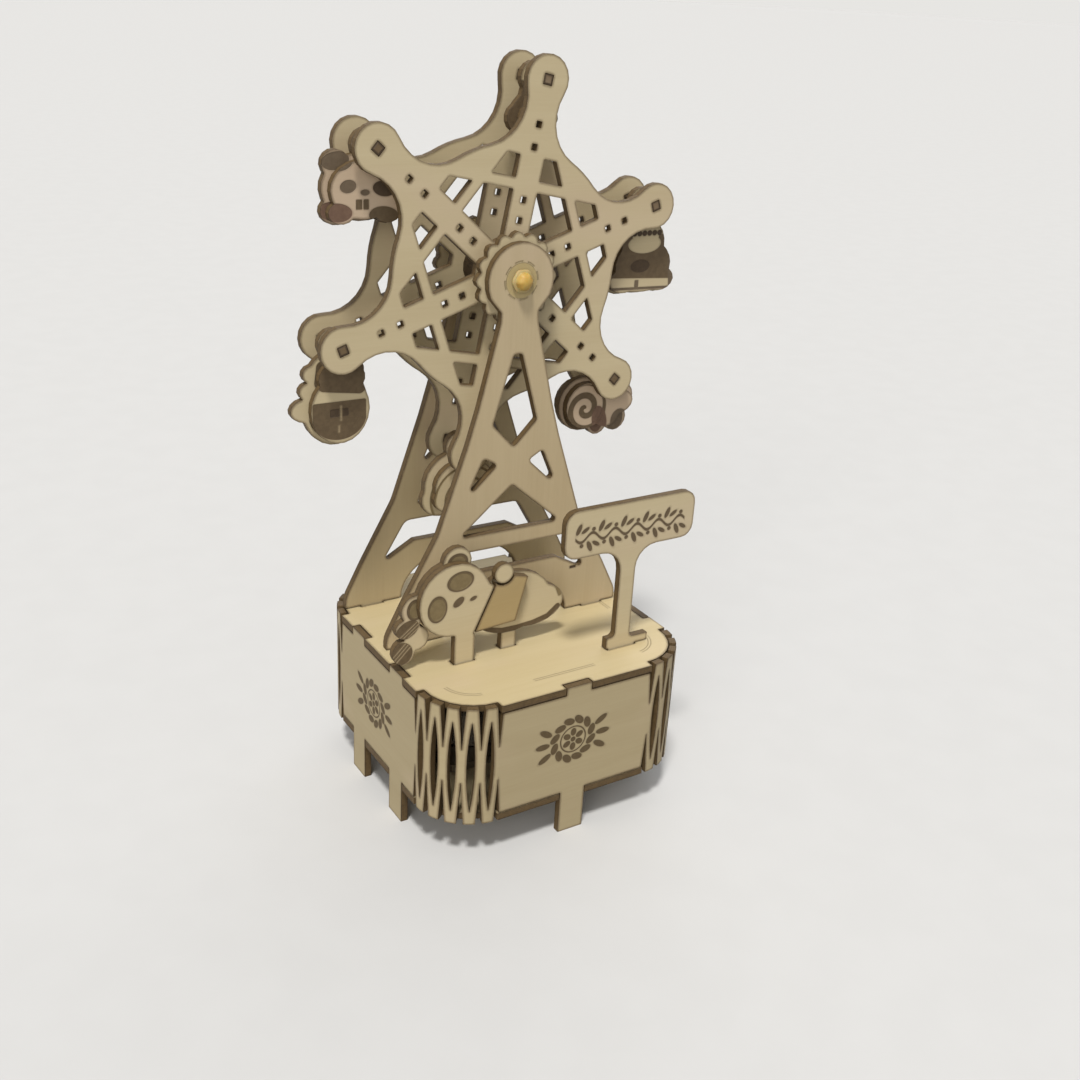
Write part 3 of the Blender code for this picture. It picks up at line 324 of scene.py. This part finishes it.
def plywood(node, lie, light=FACE_LIGHT, dark=FACE_DARK, grain="across", marks=no_marks, seed=0.0,
            one_side=False):
    """Basswood ply: pale faces with a fine grain, smoked rims, browned cut edges and engraving given by
    marks. One-sided engraving lies on the sheet's front half only."""
    paint = Paint("ply_" + node)
    square, depth, across, up = sheet_axes(paint, lie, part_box(node)[0])
    along, beside = (across, up) if grain == "across" else (up, across)
    shift = seed * 0.37
    fibre = paint.noise(paint.vector(along * 55 + shift, beside * 1500, depth * 0.6), detail=3.0,
                        roughness=0.6)
    band = paint.noise(paint.vector(along * 9 + shift, beside * 130 + shift, seed), detail=2.0)
    cloud = paint.noise(paint.vector(along * 16, beside * 34, seed + 5.0), detail=3.0, roughness=0.55)
    fleck = paint.noise(paint.vector(along * 240, beside * 3400, seed + 9.0), detail=1.0).step(0.66, 0.80)
    tone = (band - 0.5) * 0.90 + (fibre - 0.5) * 0.50 + 0.45
    face = paint.mix(light, dark, tone.high(0.0).low(1.0))
    face = paint.mix(face, FACE_PINK, cloud.step(0.50, 0.74) * 0.40)
    face = paint.mix(face, dark, fleck * 0.30)
    near_cut = paint.node("AmbientOcclusion", {"inside": True, "only_local": True, "samples": 4},
                          {"Distance": SMOKE_REACH}, output=1)
    smoke = paint.noise(paint.spot, scale=420.0, detail=2.0)
    face = paint.mix(face, SMOKE, (1.0 - near_cut).step(0.05, 0.42) * (0.62 + smoke * 0.5))
    lines = paint.noise(paint.vector(paint.x * 2600, paint.y * 2600, paint.z * 2600), detail=1.0)
    rim = abs(depth - 0.5).step(0.28, 0.50)
    glue = (0.06 - abs(abs(depth - 0.5) - 0.17)).step(0.0, 0.05)
    burn = (rim * 0.75 + glue * 0.30 + (lines - 0.5) * 0.9 + (smoke - 0.5) * 0.6 + 0.15).high(0.0).low(1.0)
    edge = paint.mix(EDGE_LIGHT, EDGE_DARK, burn)
    on_face = square.step(0.80, 0.97)
    height = fibre * 0.03 + fleck * -0.05
    roughness = 0.58 + (fibre - 0.5) * 0.12
    raster = (up * (2 * pi / RASTER_STEP)).wave() * 0.5 + 0.5
    char = paint.noise(paint.spot, scale=900.0, detail=2.0)
    shade = (raster * 0.22 + char.step(0.30, 0.75) * 0.40 + 0.20).low(1.0)
    for inside, tones in marks(paint):
        if one_side:
            inside = inside.low((0.5 - depth) * PLY)
        fill = (inside + BURN_SOFT).step(0.0, BURN_EDGE)
        halo = (inside + HALO_REACH).step(0.0, HALO_REACH) * 0.30
        face = paint.mix(face, tones[0], halo)
        face = paint.mix(face, paint.mix(tones[1], tones[0], shade), fill)
        height = height - fill * (0.8 - raster * 0.10)
        roughness = roughness + fill * 0.10
    colour = paint.mix(edge, face, on_face)
    roughness = roughness + (1 - on_face) * 0.10
    normal = paint.bump(height * on_face + lines * (1 - on_face) * 0.25, GRAIN_DEPTH, 0.9)
    return paint.finish(colour, roughness, normal, Specular_IOR_Level=0.35)


# Engraved pictures

DASHES = 8
DASH_RING = 5.0 * MM
BROWNED_ROUND = 4.7 * MM
FINE_LINE = 0.11 * MM


def hub_marks(paint):
    """Faintly browned round and a ring of eight dashes about the cap, and two small slots in the rail."""
    x = paint.x
    z = paint.z - AXLE_Z
    radius = away(x, z)
    turn = z.math("ARCTAN2", x)
    dashes = (0.32 - abs((turn * (DASHES / (2 * pi)) + 0.25).math("FRACT") - 0.5)) * (3 * MM)
    circle = (0.24 * MM - abs(radius - DASH_RING)).low(dashes)
    slots = [panel(x, z, (8.5 * MM, -86.9 * MM), (1.1 * MM, 0.45 * MM)),
             panel(x, z, (22.5 * MM, -87.2 * MM), (1.1 * MM, 0.45 * MM))]
    return [(BROWNED_ROUND - radius, TOASTED), (circle, FAINT), (joined(slots), DEEP)]


def plate_marks(paint):
    """Faint thin double line let in from the top plate's rim, in stretches."""
    x = abs(paint.x)
    y = abs(paint.y)
    flat = BASE_HALF - CORNER_R
    corner = away(x - flat, y - flat)
    turn = (y - flat).math("ARCTAN2", x - flat)
    lines = []
    for reach in (9.1 * MM, 8.3 * MM):
        lines.append((FINE_LINE - abs(corner - reach)).low((0.62 - abs(turn - pi / 4)) * 0.01))
        lines.append((FINE_LINE - abs(y - flat - reach)).low(9.8 * MM - x))
        lines.append((FINE_LINE - abs(x - flat - reach)).low(6.5 * MM - y))
    return [(joined(lines), FAINT)]


def garland(x, z, centre, reach):
    """Flower of six petals amid a wreath of leaves, with a pair of long leaves on each side."""
    flower = [oval(x, z, centre, (reach * 0.085, reach * 0.085))]
    for count in range(6):
        angle = count * pi / 3 + pi / 6
        spot = (centre[0] + reach * 0.24 * cos(angle), centre[1] + reach * 0.24 * sin(angle))
        flower.append(oval(x, z, spot, (reach * 0.130, reach * 0.095), angle))
    leaves = []
    for count in range(12):
        angle = count * pi / 6 + pi / 12
        spot = (centre[0] + reach * 0.64 * cos(angle), centre[1] + reach * 0.64 * sin(angle))
        leaves.append(oval(x, z, spot, (reach * 0.190, reach * 0.115), angle + 1.05))
    sprays = []
    for side in (-1, 1):
        for lean in (-0.42, 0.0, 0.42):
            spot = (centre[0] + side * reach * 1.02 * cos(lean), centre[1] + reach * 1.02 * sin(lean))
            sprays.append(oval(x, z, spot, (reach * 0.235, reach * 0.100), side * lean * 1.3))
    line = ring(x, z, centre, reach * 0.42, reach * 0.022)
    return joined(flower + leaves + sprays + [line])


def wall_marks(paint):
    """A garland on the front and back and one on each side."""
    front = garland(paint.x, paint.z, (-1 * MM, 30.2 * MM), 9.6 * MM).low(abs(paint.y) - BASE_HALF + 1 * MM)
    side = garland(paint.y, paint.z, (2 * MM, 29.0 * MM), 9.6 * MM).low(abs(paint.x) - BASE_HALF + 1 * MM)
    return [(front.high(side), GARLAND)]


def sign_marks(paint):
    """A winding stem with leaves and buds on alternate sides."""
    x = paint.x - SIGN_X
    z = paint.z - SIGN_Z + 1.2 * MM
    count_of_waves = 5
    length = SIGN_HALF * 2 - 6.5 * MM
    wave_long = length / count_of_waves
    stem_z = (x * (2 * pi / wave_long)).wave() * 1.2 * MM
    stem = (0.36 * MM - abs(z - stem_z) * 0.78).low(length / 2 - abs(x))
    shapes = [stem]
    for count in range(2 * count_of_waves):
        spot_x = (count + 0.5) * wave_long / 2 - length / 2
        side = 1 if count % 2 == 0 else -1
        shapes.append(oval(x, z, (spot_x - 0.8 * MM, side * 2.7 * MM), (1.75 * MM, 0.72 * MM), side * 1.15))
        shapes.append(oval(x, z, (spot_x + 1.3 * MM, side * 2.2 * MM), (1.45 * MM, 0.60 * MM), side * 0.55))
        shapes.append(oval(x, z, (spot_x + 0.3 * MM, side * -2.2 * MM), (0.62 * MM, 0.62 * MM)))
    return [(joined(shapes), BROWN)]


def local(paint, kind):
    """Offsets from a gondola's pin, in millimetres."""
    pin_x, pin_z = pin_place(kind)
    return (paint.x - pin_x) / MM, (paint.z - pin_z) / MM


def grown(shapes, tones):
    """Shapes drawn in millimetres, joined and brought to metres, with their tones."""
    return joined(shapes) * MM, tones


def bear_marks(paint):
    """Ears, eyes, a small nose, two teeth and two paws."""
    x, z = local(paint, "bear")
    ears = [oval(x, z, (-8.3, -3.6), (3.7, 2.2), 0.15), oval(x, z, (5.7, -3.6), (3.7, 2.2), -0.15)]
    left_eye = [oval(x, z, (-6.0, -9.4), (2.2, 1.6), 0.15)]
    right_eye = [oval(x, z, (3.6, -10.1), (3.1, 1.9), -0.15)]
    nose = [oval(x, z, (-1.5, -10.9), (1.3, 0.75))]
    teeth = [panel(x, z, (-3.15, -13.8), (0.85, 1.25), 0.0, 0.25),
             panel(x, z, (-1.25, -13.8), (0.75, 1.25), 0.0, 0.25)]
    left_paw = [oval(x, z, (-9.0, -15.6), (4.1, 2.3), -0.08)]
    right_paw = [oval(x, z, (3.7, -16.8), (4.2, 2.4), -0.12)]
    return [grown(ears, GREY), grown(left_eye, GREY), grown(right_eye, DEEP), grown(nose, GREY),
            grown(teeth, BROWN), grown(left_paw, RED), grown(right_paw, BROWN)]


def bird_marks(paint):
    """Dark crown and breast, with a pale band between and a faint cross on the breast."""
    x, z = local(paint, "bird")
    crown = [panel(x, z, (1.7, -8.6), (6.7, 3.8), -0.14, 1.7)]
    breast = [panel(x, z, (0.7, -17.6), (7.5, 3.0), 0.0, 0.6),
              oval(x, z, (0.7, -19.2), (7.5, 6.0)).low(-14.6 - z)]
    heart = [panel(x, z, (0.6, -17.7), (2.6, 1.1), 0.0, 0.4)]
    cross = [stroke(x, z, (1.0, -16.0), (1.0, -19.6), 0.30), stroke(x, z, (0.4, -21.3), (0.4, -22.8), 0.30)]
    return [grown(crown, BROWN), grown(breast, BROWN), grown(heart, DEEP), grown(cross, VEIN)]


def bell_marks(paint):
    """Dotted top line, dark sound band round a pale oval, and a small clapper notch in the pale foot."""
    x, z = local(paint, "bell")
    dots = [oval(x, z, (-3.4 + 1.75 * count, -8.3), (0.90, 0.80)) for count in range(6)]
    pale = oval(x, z, (0.4, -11.3), (5.7, 2.7)).high(panel(x, z, (0.6, -8.6), (4.6, 2.6), 0.0, 0.8))
    collar = panel(x, z, (0.4, -12.0), (13.0, 3.2), 0.0, 0.6).low(-pale)
    band = panel(x, z, (0.8, -16.9), (13.0, 4.3), -0.06, 1.0).low(-pale)
    heart = oval(x, z, (-0.6, -17.6), (3.4, 1.9))
    notch = panel(x, z, (-1.4, -22.7), (0.7, 1.1), 0.0, 0.3)
    foot = panel(x, z, (0.8, -24.1), (13.0, 0.38), -0.03, 0.2)
    side = panel(x, z, (11.4, -20.5), (1.6, 5.0), 0.12, 0.4)
    return [grown([collar, band], BROWN), grown([heart], DEEP), grown(dots, DEEP),
            grown([notch, foot, side], GREY)]


def snail_marks(paint):
    """Broad dark coil of the house and two dark feet."""
    x, z = local(paint, "snail")
    dx, dz = x + 6.6, z + 9.6
    radius = away(dx, dz)
    turn = dz.math("ARCTAN2", dx) / (2 * pi)
    pitch = 4.0
    coil = abs((radius / pitch - turn - 0.28).math("FRACT") - 0.5)
    spiral = ((0.24 - coil) * pitch).low(7.4 - radius)
    toe = [oval(x, z, (-1.3, -13.8), (2.6, 4.7), 0.24)]
    heel = [oval(x, z, (5.9, -14.7), (3.1, 3.7))]
    return [grown([spiral], BROWN), grown(toe, RED), grown(heel, GREY)]


def shell_marks(paint):
    """Two faint arcs of a scallop."""
    x, z = local(paint, "shell")
    radius = away(x - 1.5, z + 15.5)
    return [grown([0.35 - abs(radius - reach) for reach in (6.6, 10.0)], OLIVE)]


def cone_marks(paint):
    """Dark scoops over the lattice of the wafer: the scoop panel is partly burnt engraving and partly
    painted shade on the cone behind the arm.
    """
    x, z = local(paint, "cone")
    lattice = []
    for angle in (0.8, -0.8):
        across = turned_pair(x, z, angle)[1]
        lattice.append(0.24 - abs((across / 2.6).math("FRACT") - 0.5) * 2.6)
    wafer = joined(lattice).low(-z - 13.6)
    # The scoop panel is partly engraving and partly painted shade, darkening the cone where it hangs behind
    # the arm
    scoops_and_painted_shade = [panel(x, z, (0.0, -7.0), (16.0, 6.2), 0.0, 1.5)]
    gleams = [stroke(x, z, (-4.6, -10.4), (-3.2, -7.4), 0.35), stroke(x, z, (3.0, -11.0), (4.6, -8.0), 0.35)]
    return [grown(scoops_and_painted_shade, BROWN), grown([wafer], BROWN), grown(gleams, VEIN)]


def panda_place(paint):
    """Place on the panda in millimetres, its height taken from the top plate."""
    return paint.x / MM, (paint.z - TOP_Z) / MM


def panda_head_marks(paint):
    """Rimmed eye patches, nose and mouth."""
    x, z = panda_place(paint)
    patches = (((-23.8, 25.0), (4.1, 2.95), 0.10), ((-30.6, 18.0), (2.95, 4.0), -0.05))
    rims = [oval(x, z, spot, radii, lean) for spot, radii, lean in patches]
    fills = [rim - 0.55 for rim in rims]
    nose = [oval(x, z, (-24.2, 18.9), (1.95, 1.15), 0.65), oval(x, z, (-19.7, 19.1), (1.15, 0.62), 0.35)]
    return [grown(rims, BROWN), grown(fills, OLIVE), grown(nose, BROWN)]


def panda_body_marks(paint):
    """Inner ears, leaves with pale veins, the belly's dark hem and a dark olive arc along the body's right
    end.
    """
    x, z = panda_place(paint)
    ears = [oval(x, z, (-23.5, 29.6), (3.1, 2.6)), oval(x, z, (-36.0, 18.0), (2.5, 3.2))]
    fills = [ear - 0.7 for ear in ears]
    leaves = [oval(x, z, (-38.3, 12.5), (3.6, 2.5), 0.45), oval(x, z, (-40.0, 5.6), (3.3, 3.4), 0.6)]
    veins = []
    for low in (-46.4, -45.0, -43.6):
        veins.append(stroke(x, z, (low + 2.0, 3.2), (low + 9.5, 10.6), 0.20))
        veins.append(stroke(x, z, (low + 5.6, 10.4), (low + 10.8, 14.4), 0.18))
    veins = joined(veins).low(joined(leaves))
    route = ((-17.6, 9.3), (-13.4, 6.8), (-9.0, 5.6), (-4.2, 5.5), (1.1, 5.8), (6.2, 6.9), (9.4, 9.4))
    hem = [stroke(x, z, start, end, 0.85) for start, end in zip(route, route[1:])]
    right_edge_arc = [stroke(x, z, (9.9, 13.0), (8.6, 16.2), 0.55), stroke(x, z, (8.6, 16.2), (6.4, 18.2), 0.45)]
    return [grown(ears, BROWN), grown(fills, OLIVE), grown(leaves, BROWN), grown([veins], VEIN),
            grown(hem, BROWN), grown(right_edge_arc, OLIVE)]


def blanket_marks(paint):
    """Burnt hem along the blanket's lower edge."""
    x, z = panda_place(paint)
    return [grown([stroke(x, z, (-20.0, 8.2), (-4.0, 8.6), 0.45)], BROWN)]


def pin_marks(paint):
    """Charred rim round a pin's square end, worked out in the nearest arm's own axes."""
    x = paint.x
    z = paint.z - AXLE_Z
    inside = []
    for count in range(6):
        angle = pi / 2 + WHEEL_TURN + count * pi / 3
        along, across = turned_pair(x, z, angle)
        inside.append(PIN_END_HALF - abs(along - WHEEL_R).high(abs(across)))
    return [(0.42 * MM - joined(inside), DEEP)]


# Metal and plastic

STEEL_LIGHT = (0.35, 0.31, 0.25)
STEEL_DARK = (0.22, 0.19, 0.145)
BRASS_LIGHT = (0.70, 0.50, 0.21)
BRASS_DARK = (0.54, 0.37, 0.14)
YELLOW_DEEP = (0.450, 0.250, 0.025)
YELLOW_PALE = (0.460, 0.320, 0.090)
FLANGE_DULL = (0.400, 0.315, 0.140)


def metal(name, light, dark, roughness):
    """Drawn or rolled metal with fine lines along y and a little handling haze."""
    paint = Paint(name)
    lines = paint.noise(paint.vector(paint.x * 2400, paint.y * 90, paint.z * 2400), detail=2.0)
    haze = paint.noise(paint.spot, scale=160.0, detail=3.0)
    colour = paint.mix(light, dark, (lines * 0.5 + haze * 0.5).step(0.3, 0.75))
    rough = roughness + (haze - 0.5) * 0.18 + (lines - 0.5) * 0.08
    normal = paint.bump(lines, 0.02 * MM, 0.6)
    return paint.finish(colour, rough, normal, Metallic=1.0)


def yellow_plastic():
    """Moulded yellow plastic, a little cloudy, duller on the flange."""
    paint = Paint("yellow_plastic")
    cloud = paint.noise(paint.spot, scale=700.0, detail=2.0)
    radius = away(paint.x, paint.z - AXLE_Z)
    rim = radius.step(2.1 * MM, 2.7 * MM)
    colour = paint.mix(YELLOW_DEEP, YELLOW_PALE, cloud)
    colour = paint.mix(colour, FLANGE_DULL, rim * 0.9)
    normal = paint.bump(cloud, 0.03 * MM, 0.5)
    return paint.finish(colour, 0.46 + cloud * 0.12, normal, Subsurface_Weight=0.15, Subsurface_Scale=0.002)


# Mesh tools

EDGE_ROUND = 0.10 * MM
WELD_REACH = 0.002 * MM
SHARP_TURN = radians(34)
BEVELLED_TURN = radians(42)


def mesh_of(name, vertices, faces, material, body):
    """A piece of a vertex array and a list of faces."""
    mesh = bpy.data.meshes.new(name)
    mesh.from_pydata(vertices.tolist(), [], faces)
    mesh.materials.append(material)
    mesh.shade_smooth()
    mesh.set_sharp_from_angle(angle=SHARP_TURN)
    piece = bpy.data.objects.new(name, mesh)
    bpy.context.scene.collection.objects.link(piece)
    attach(piece, body)
    return piece


def turned_surface(profile, weight):
    """Profile of (radius, y) carried round the Y axis, the radius times a weight for each angle, with
    flat ends. The profile runs towards -y, so that the faces point outwards."""
    radii, heights = np.array(profile).T
    sides = len(weight)
    angles = np.linspace(0, 2 * pi, sides, endpoint=False)
    x = np.outer(radii, np.cos(angles) * weight)
    z = np.outer(radii, np.sin(angles) * weight)
    y = np.repeat(heights[:, None], sides, axis=1)
    vertices = np.stack([x, y, z], axis=-1).reshape(-1, 3)
    row, side = np.meshgrid(np.arange(len(profile) - 1), np.arange(sides), indexing="ij")
    after = (side + 1) % sides
    corners = (row * sides + side, row * sides + after, (row + 1) * sides + after, (row + 1) * sides + side)
    faces = np.stack(corners, axis=-1).reshape(-1, 4).tolist()
    last = (len(profile) - 1) * sides
    return vertices, [list(range(sides))[::-1]] + faces + [list(range(last, last + sides))]


def soften(node, width):
    """Rounds a CAD node's cut edges a little, once the split corners are welded."""
    weld = node.modifiers.new("weld", "WELD")
    weld.merge_threshold = WELD_REACH
    bevel = node.modifiers.new("bevel", "BEVEL")
    bevel.width = width
    bevel.segments = 2
    bevel.limit_method = "ANGLE"
    bevel.angle_limit = BEVELLED_TURN
    bevel.harden_normals = False


# Dressing

PICTURES = {"cone": cone_marks, "bear": bear_marks, "bird": bird_marks, "shell": shell_marks,
            "snail": snail_marks, "bell": bell_marks}


def dress_all():
    """Give every CAD node its own material."""
    coats = {
        # The wall and bottom plate take the wood tones darkened as painted shade
        "base_wall": plywood("base_wall", "wrapped", SHADED_WALL_LIGHT, SHADED_WALL_DARK, marks=wall_marks, seed=1.0),
        "base_top_plate": plywood("base_top_plate", "level", TOP_LIGHT, TOP_DARK, marks=plate_marks,
                                  seed=2.0),
        "base_bottom_plate": plywood("base_bottom_plate", "level", SHADED_WALL_LIGHT, SHADED_WALL_DARK, seed=3.0),
        "sign": plywood("sign", "upright", marks=sign_marks, seed=11.0, one_side=True),
        "panda_head": plywood("panda_head", "upright", marks=panda_head_marks, seed=12.0, one_side=True),
        "panda_body": plywood("panda_body", "upright", marks=panda_body_marks, seed=13.0, one_side=True),
        "panda_paw": plywood("panda_paw", "upright", seed=14.0),
        "panda_blanket": plywood("panda_blanket", "upright", TAN_LIGHT, TAN_DARK, marks=blanket_marks,
                                 seed=15.0, one_side=True)}
    for count, side in enumerate(("front", "back")):
        # The back support takes the darker tones of painted shade
        light, dark = (SUPPORT_LIGHT, SUPPORT_DARK) if side == "front" else (SHADED_BACK_LIGHT, SHADED_BACK_DARK)
        coats["support_" + side] = plywood("support_" + side, "upright", light, dark, grain="up",
                                           marks=hub_marks, seed=4.0 + count)
        for number, sheet in enumerate(("wheel_plate_", "hub_disc_", "hub_washer_")):
            coats[sheet + side] = plywood(sheet + side, "upright", seed=40.0 + 3 * count + number)
    coats["hub_core"] = plywood("hub_core", "upright", seed=10.0)
    for count, kind in enumerate(KINDS):
        for layer in ("core", "front", "back"):
            name = "gondola_" + kind + "_" + layer
            light, dark = (FACE_PINK, PINK_DARK) if kind in ("bear", "snail") else (FACE_LIGHT, FACE_DARK)
            coats[name] = plywood(name, "upright", light, dark, marks=PICTURES[kind], seed=20.0 + count)
    steel = metal("steel", STEEL_LIGHT, STEEL_DARK, 0.48)
    brass = metal("brass", BRASS_LIGHT, BRASS_DARK, 0.34)
    yellow = yellow_plastic()
    for name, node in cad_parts.items():
        if name in coats:
            coat = coats[name]
            soften(node, EDGE_ROUND)
        elif name in ("movement_drum", "movement_governor"):
            coat = brass
        elif name.startswith(("axle_cap", "pin_")):
            coat = yellow
        else:
            coat = steel
        node.data.materials.clear()
        node.data.materials.append(coat)
    return yellow


# Cap sizes in millimetres: the flange as (radius, height) from the frame's face, then the dome
CAP_SIDES = 48
CAP_LOBES = 6
LOBE_DEPTH = 0.035
FLANGE = [(2.95, 0.3), (3.1, 0.45), (3.1, 0.85), (2.95, 1.0), (2.5, 1.12), (2.35, 1.3)]
DOME_R = 2.35
DOME_FOOT = 1.3
DOME_RISE = 1.9
DOME_STEPS = 8


def make_caps(yellow):
    """Moulded caps on the axle's ends: a flange, a waist and a dome with six soft lobes."""
    weight = 1 + LOBE_DEPTH * np.cos(CAP_LOBES * np.linspace(0, 2 * pi, CAP_SIDES, endpoint=False))
    profile = list(FLANGE)
    for step in range(1, DOME_STEPS + 1):
        angle = radians(86) * step / DOME_STEPS
        profile.append((DOME_R * cos(angle), DOME_FOOT + DOME_RISE * sin(angle)))
    ends = (("front", -1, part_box("support_front")[0][1]), ("back", 1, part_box("support_back")[1][1]))
    for side, sign, seat in ends:
        rows = [(radius * MM, seat + sign * height * MM) for radius, height in profile]
        vertices, faces = turned_surface(rows if side == "front" else rows[::-1], weight)
        vertices[:, 2] += AXLE_Z
        cap = mesh_of("cap_" + side, vertices, faces, yellow, "wheel")
        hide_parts("axle_cap_" + side)


PIN_SIDES = 40
PIN_EASE = 0.12 * MM
SQUARENESS = 12


def make_pins():
    """Square pins with eased ends: a circle weighted into a rounded square and carried along Y. The ends
    fill the plates' holes, and between the plates the pin is narrower."""
    angles = np.linspace(0, 2 * pi, PIN_SIDES, endpoint=False)
    across, up = np.abs(np.cos(angles)), np.abs(np.sin(angles))
    weight = (across ** SQUARENESS + up ** SQUARENESS) ** (-1 / SQUARENESS)
    for count, kind in enumerate(KINDS):
        low, high = (corner[1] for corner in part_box("pin_" + kind))
        coat = plywood("pin_" + kind, "upright", PIN_LIGHT, PIN_DARK, marks=pin_marks, seed=30.0 + count)
        profile = [(PIN_END_HALF - PIN_EASE, low), (PIN_END_HALF, low + PIN_EASE), (PIN_END_HALF, low + PLY),
                   (PIN_HALF, low + PLY), (PIN_HALF, high - PLY), (PIN_END_HALF, high - PLY),
                   (PIN_END_HALF, high - PIN_EASE), (PIN_END_HALF - PIN_EASE, high)]
        vertices, faces = turned_surface(profile[::-1], weight)
        turn = WHEEL_TURN + count * pi / 3
        x, z = vertices[:, 0].copy(), vertices[:, 2].copy()
        pin_x, pin_z = pin_place(kind)
        vertices[:, 0] = pin_x + x * cos(turn) - z * sin(turn)
        vertices[:, 2] = pin_z + x * sin(turn) + z * cos(turn)
        pin = mesh_of("square_pin_" + kind, vertices, faces, coat, "wheel")
        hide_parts("pin_" + kind)


# Stage

FLOOR_HALF = 40.0
FLOOR_PALE = (0.547, 0.541, 0.531)
FLOOR_DULL = (0.538, 0.532, 0.522)
FLOOR_FOR_LIGHT = (0.30, 0.295, 0.285)
SKY_FOR_LIGHT = (0.98, 0.99, 1.0, 1.0)
SKY_LIGHT_POWER = 0.36
SKY_SEEN = (0.80, 0.79, 0.765, 1.0)
SUNS = (("key", (-0.90, -0.79, 0.45), 1.28, 36, (1.0, 0.985, 0.96)),
        ("top", (-0.30, -0.33, 1.0), 2.9, 9, (1.0, 0.99, 0.97)),
        ("rear", (0.80, 0.80, 0.70), 0.9, 60, (0.97, 0.98, 1.0)))


def make_stage():
    """Plain pale floor, soft studio light from wide suns, and pale surroundings."""
    paint = Paint("floor")
    speck = paint.noise(paint.spot, scale=60.0, detail=3.0)
    pale = paint.mix(FLOOR_PALE, FLOOR_DULL, speck.step(0.3, 0.7))
    rays = ("Is Camera Ray", "Is Glossy Ray", "Is Transmission Ray")
    camera_ray, glossy_ray, clear_ray = (paint.node("LightPath", {}, {}, output=name) for name in rays)
    seen = camera_ray.high(glossy_ray).high(clear_ray)
    colour = paint.mix(FLOOR_FOR_LIGHT, pale, seen)
    coat = paint.finish(colour, 0.7, Specular_IOR_Level=0.0)
    vertices = np.array([(-1, -1, 0), (1, -1, 0), (1, 1, 0), (-1, 1, 0)]) * FLOOR_HALF
    mesh = bpy.data.meshes.new("floor")
    mesh.from_pydata(vertices.tolist(), [], [(0, 1, 2, 3)])
    mesh.materials.append(coat)
    floor = bpy.data.objects.new("floor", mesh)
    bpy.context.scene.collection.objects.link(floor)
    for name, towards, power, spread, tint in SUNS:
        lamp = bpy.data.lights.new(name, "SUN")
        lamp.angle = radians(spread)
        lamp.energy = power
        lamp.color = tint
        holder = bpy.data.objects.new(name, lamp)
        holder.rotation_mode = "QUATERNION"
        holder.rotation_quaternion = Vector(towards).to_track_quat("Z", "Y")
        bpy.context.scene.collection.objects.link(holder)
    world = bpy.data.worlds.new("surroundings")
    bpy.context.scene.world = world
    world.use_nodes = True
    tree = world.node_tree
    tree.nodes.clear()
    output = tree.nodes.new("ShaderNodeOutputWorld")
    mixer = tree.nodes.new("ShaderNodeMixShader")
    path = tree.nodes.new("ShaderNodeLightPath")
    ray = path.outputs["Is Camera Ray"]
    for name in ("Is Glossy Ray", "Is Transmission Ray"):
        seen = tree.nodes.new("ShaderNodeMath")
        seen.operation = "MAXIMUM"
        tree.links.new(ray, seen.inputs[0])
        tree.links.new(path.outputs[name], seen.inputs[1])
        ray = seen.outputs[0]
    tree.links.new(ray, mixer.inputs[0])
    for socket, colour, strength in ((1, SKY_FOR_LIGHT, SKY_LIGHT_POWER), (2, SKY_SEEN, 1.0)):
        sky = tree.nodes.new("ShaderNodeBackground")
        sky.inputs["Color"].default_value = colour
        sky.inputs["Strength"].default_value = strength
        tree.links.new(sky.outputs[0], mixer.inputs[socket])
    tree.links.new(mixer.outputs[0], output.inputs[0])


AZIMUTH = radians(-32.9641)
ELEVATION = radians(23.8202)
ROLL = radians(3.3212)
AIM = (0, 6.05 * MM, AXLE_Z)
AIM_FROM_LENS = (-0.168942, -1.409240, 6.653758)
SENSOR_WIDE = 36.0
FOCAL_PIXELS = 1250.68
PICTURE_PIXELS = 1080


def make_camera():
    """Camera at the photograph's viewing angle, worked out from its outlines."""
    turn = (Matrix.Rotation(ROLL, 3, "Y") @ Matrix.Rotation(ELEVATION, 3, "X")
            @ Matrix.Rotation(-AZIMUTH, 3, "Z"))
    shift = Vector(AIM_FROM_LENS) * WHEEL_R
    swap = Matrix(((1, 0, 0), (0, 0, -1), (0, 1, 0)))
    look = swap @ turn
    spot = -(look.transposed() @ shift) + Vector(AIM)
    axes = Matrix((look[0], -look[1], -look[2])).transposed()
    lens = bpy.data.cameras.new("camera")
    lens.sensor_width = SENSOR_WIDE
    lens.lens = SENSOR_WIDE * FOCAL_PIXELS / PICTURE_PIXELS
    lens.clip_start = 0.01
    lens.clip_end = 100.0
    camera = bpy.data.objects.new("camera", lens)
    camera.matrix_world = Matrix.Translation(spot) @ axes.to_4x4()
    bpy.context.scene.collection.objects.link(camera)
    bpy.context.scene.camera = camera


make_camera()
make_stage()
make_caps(dress_all())
make_pins()
bpy.context.scene.view_settings.view_transform = "Standard"
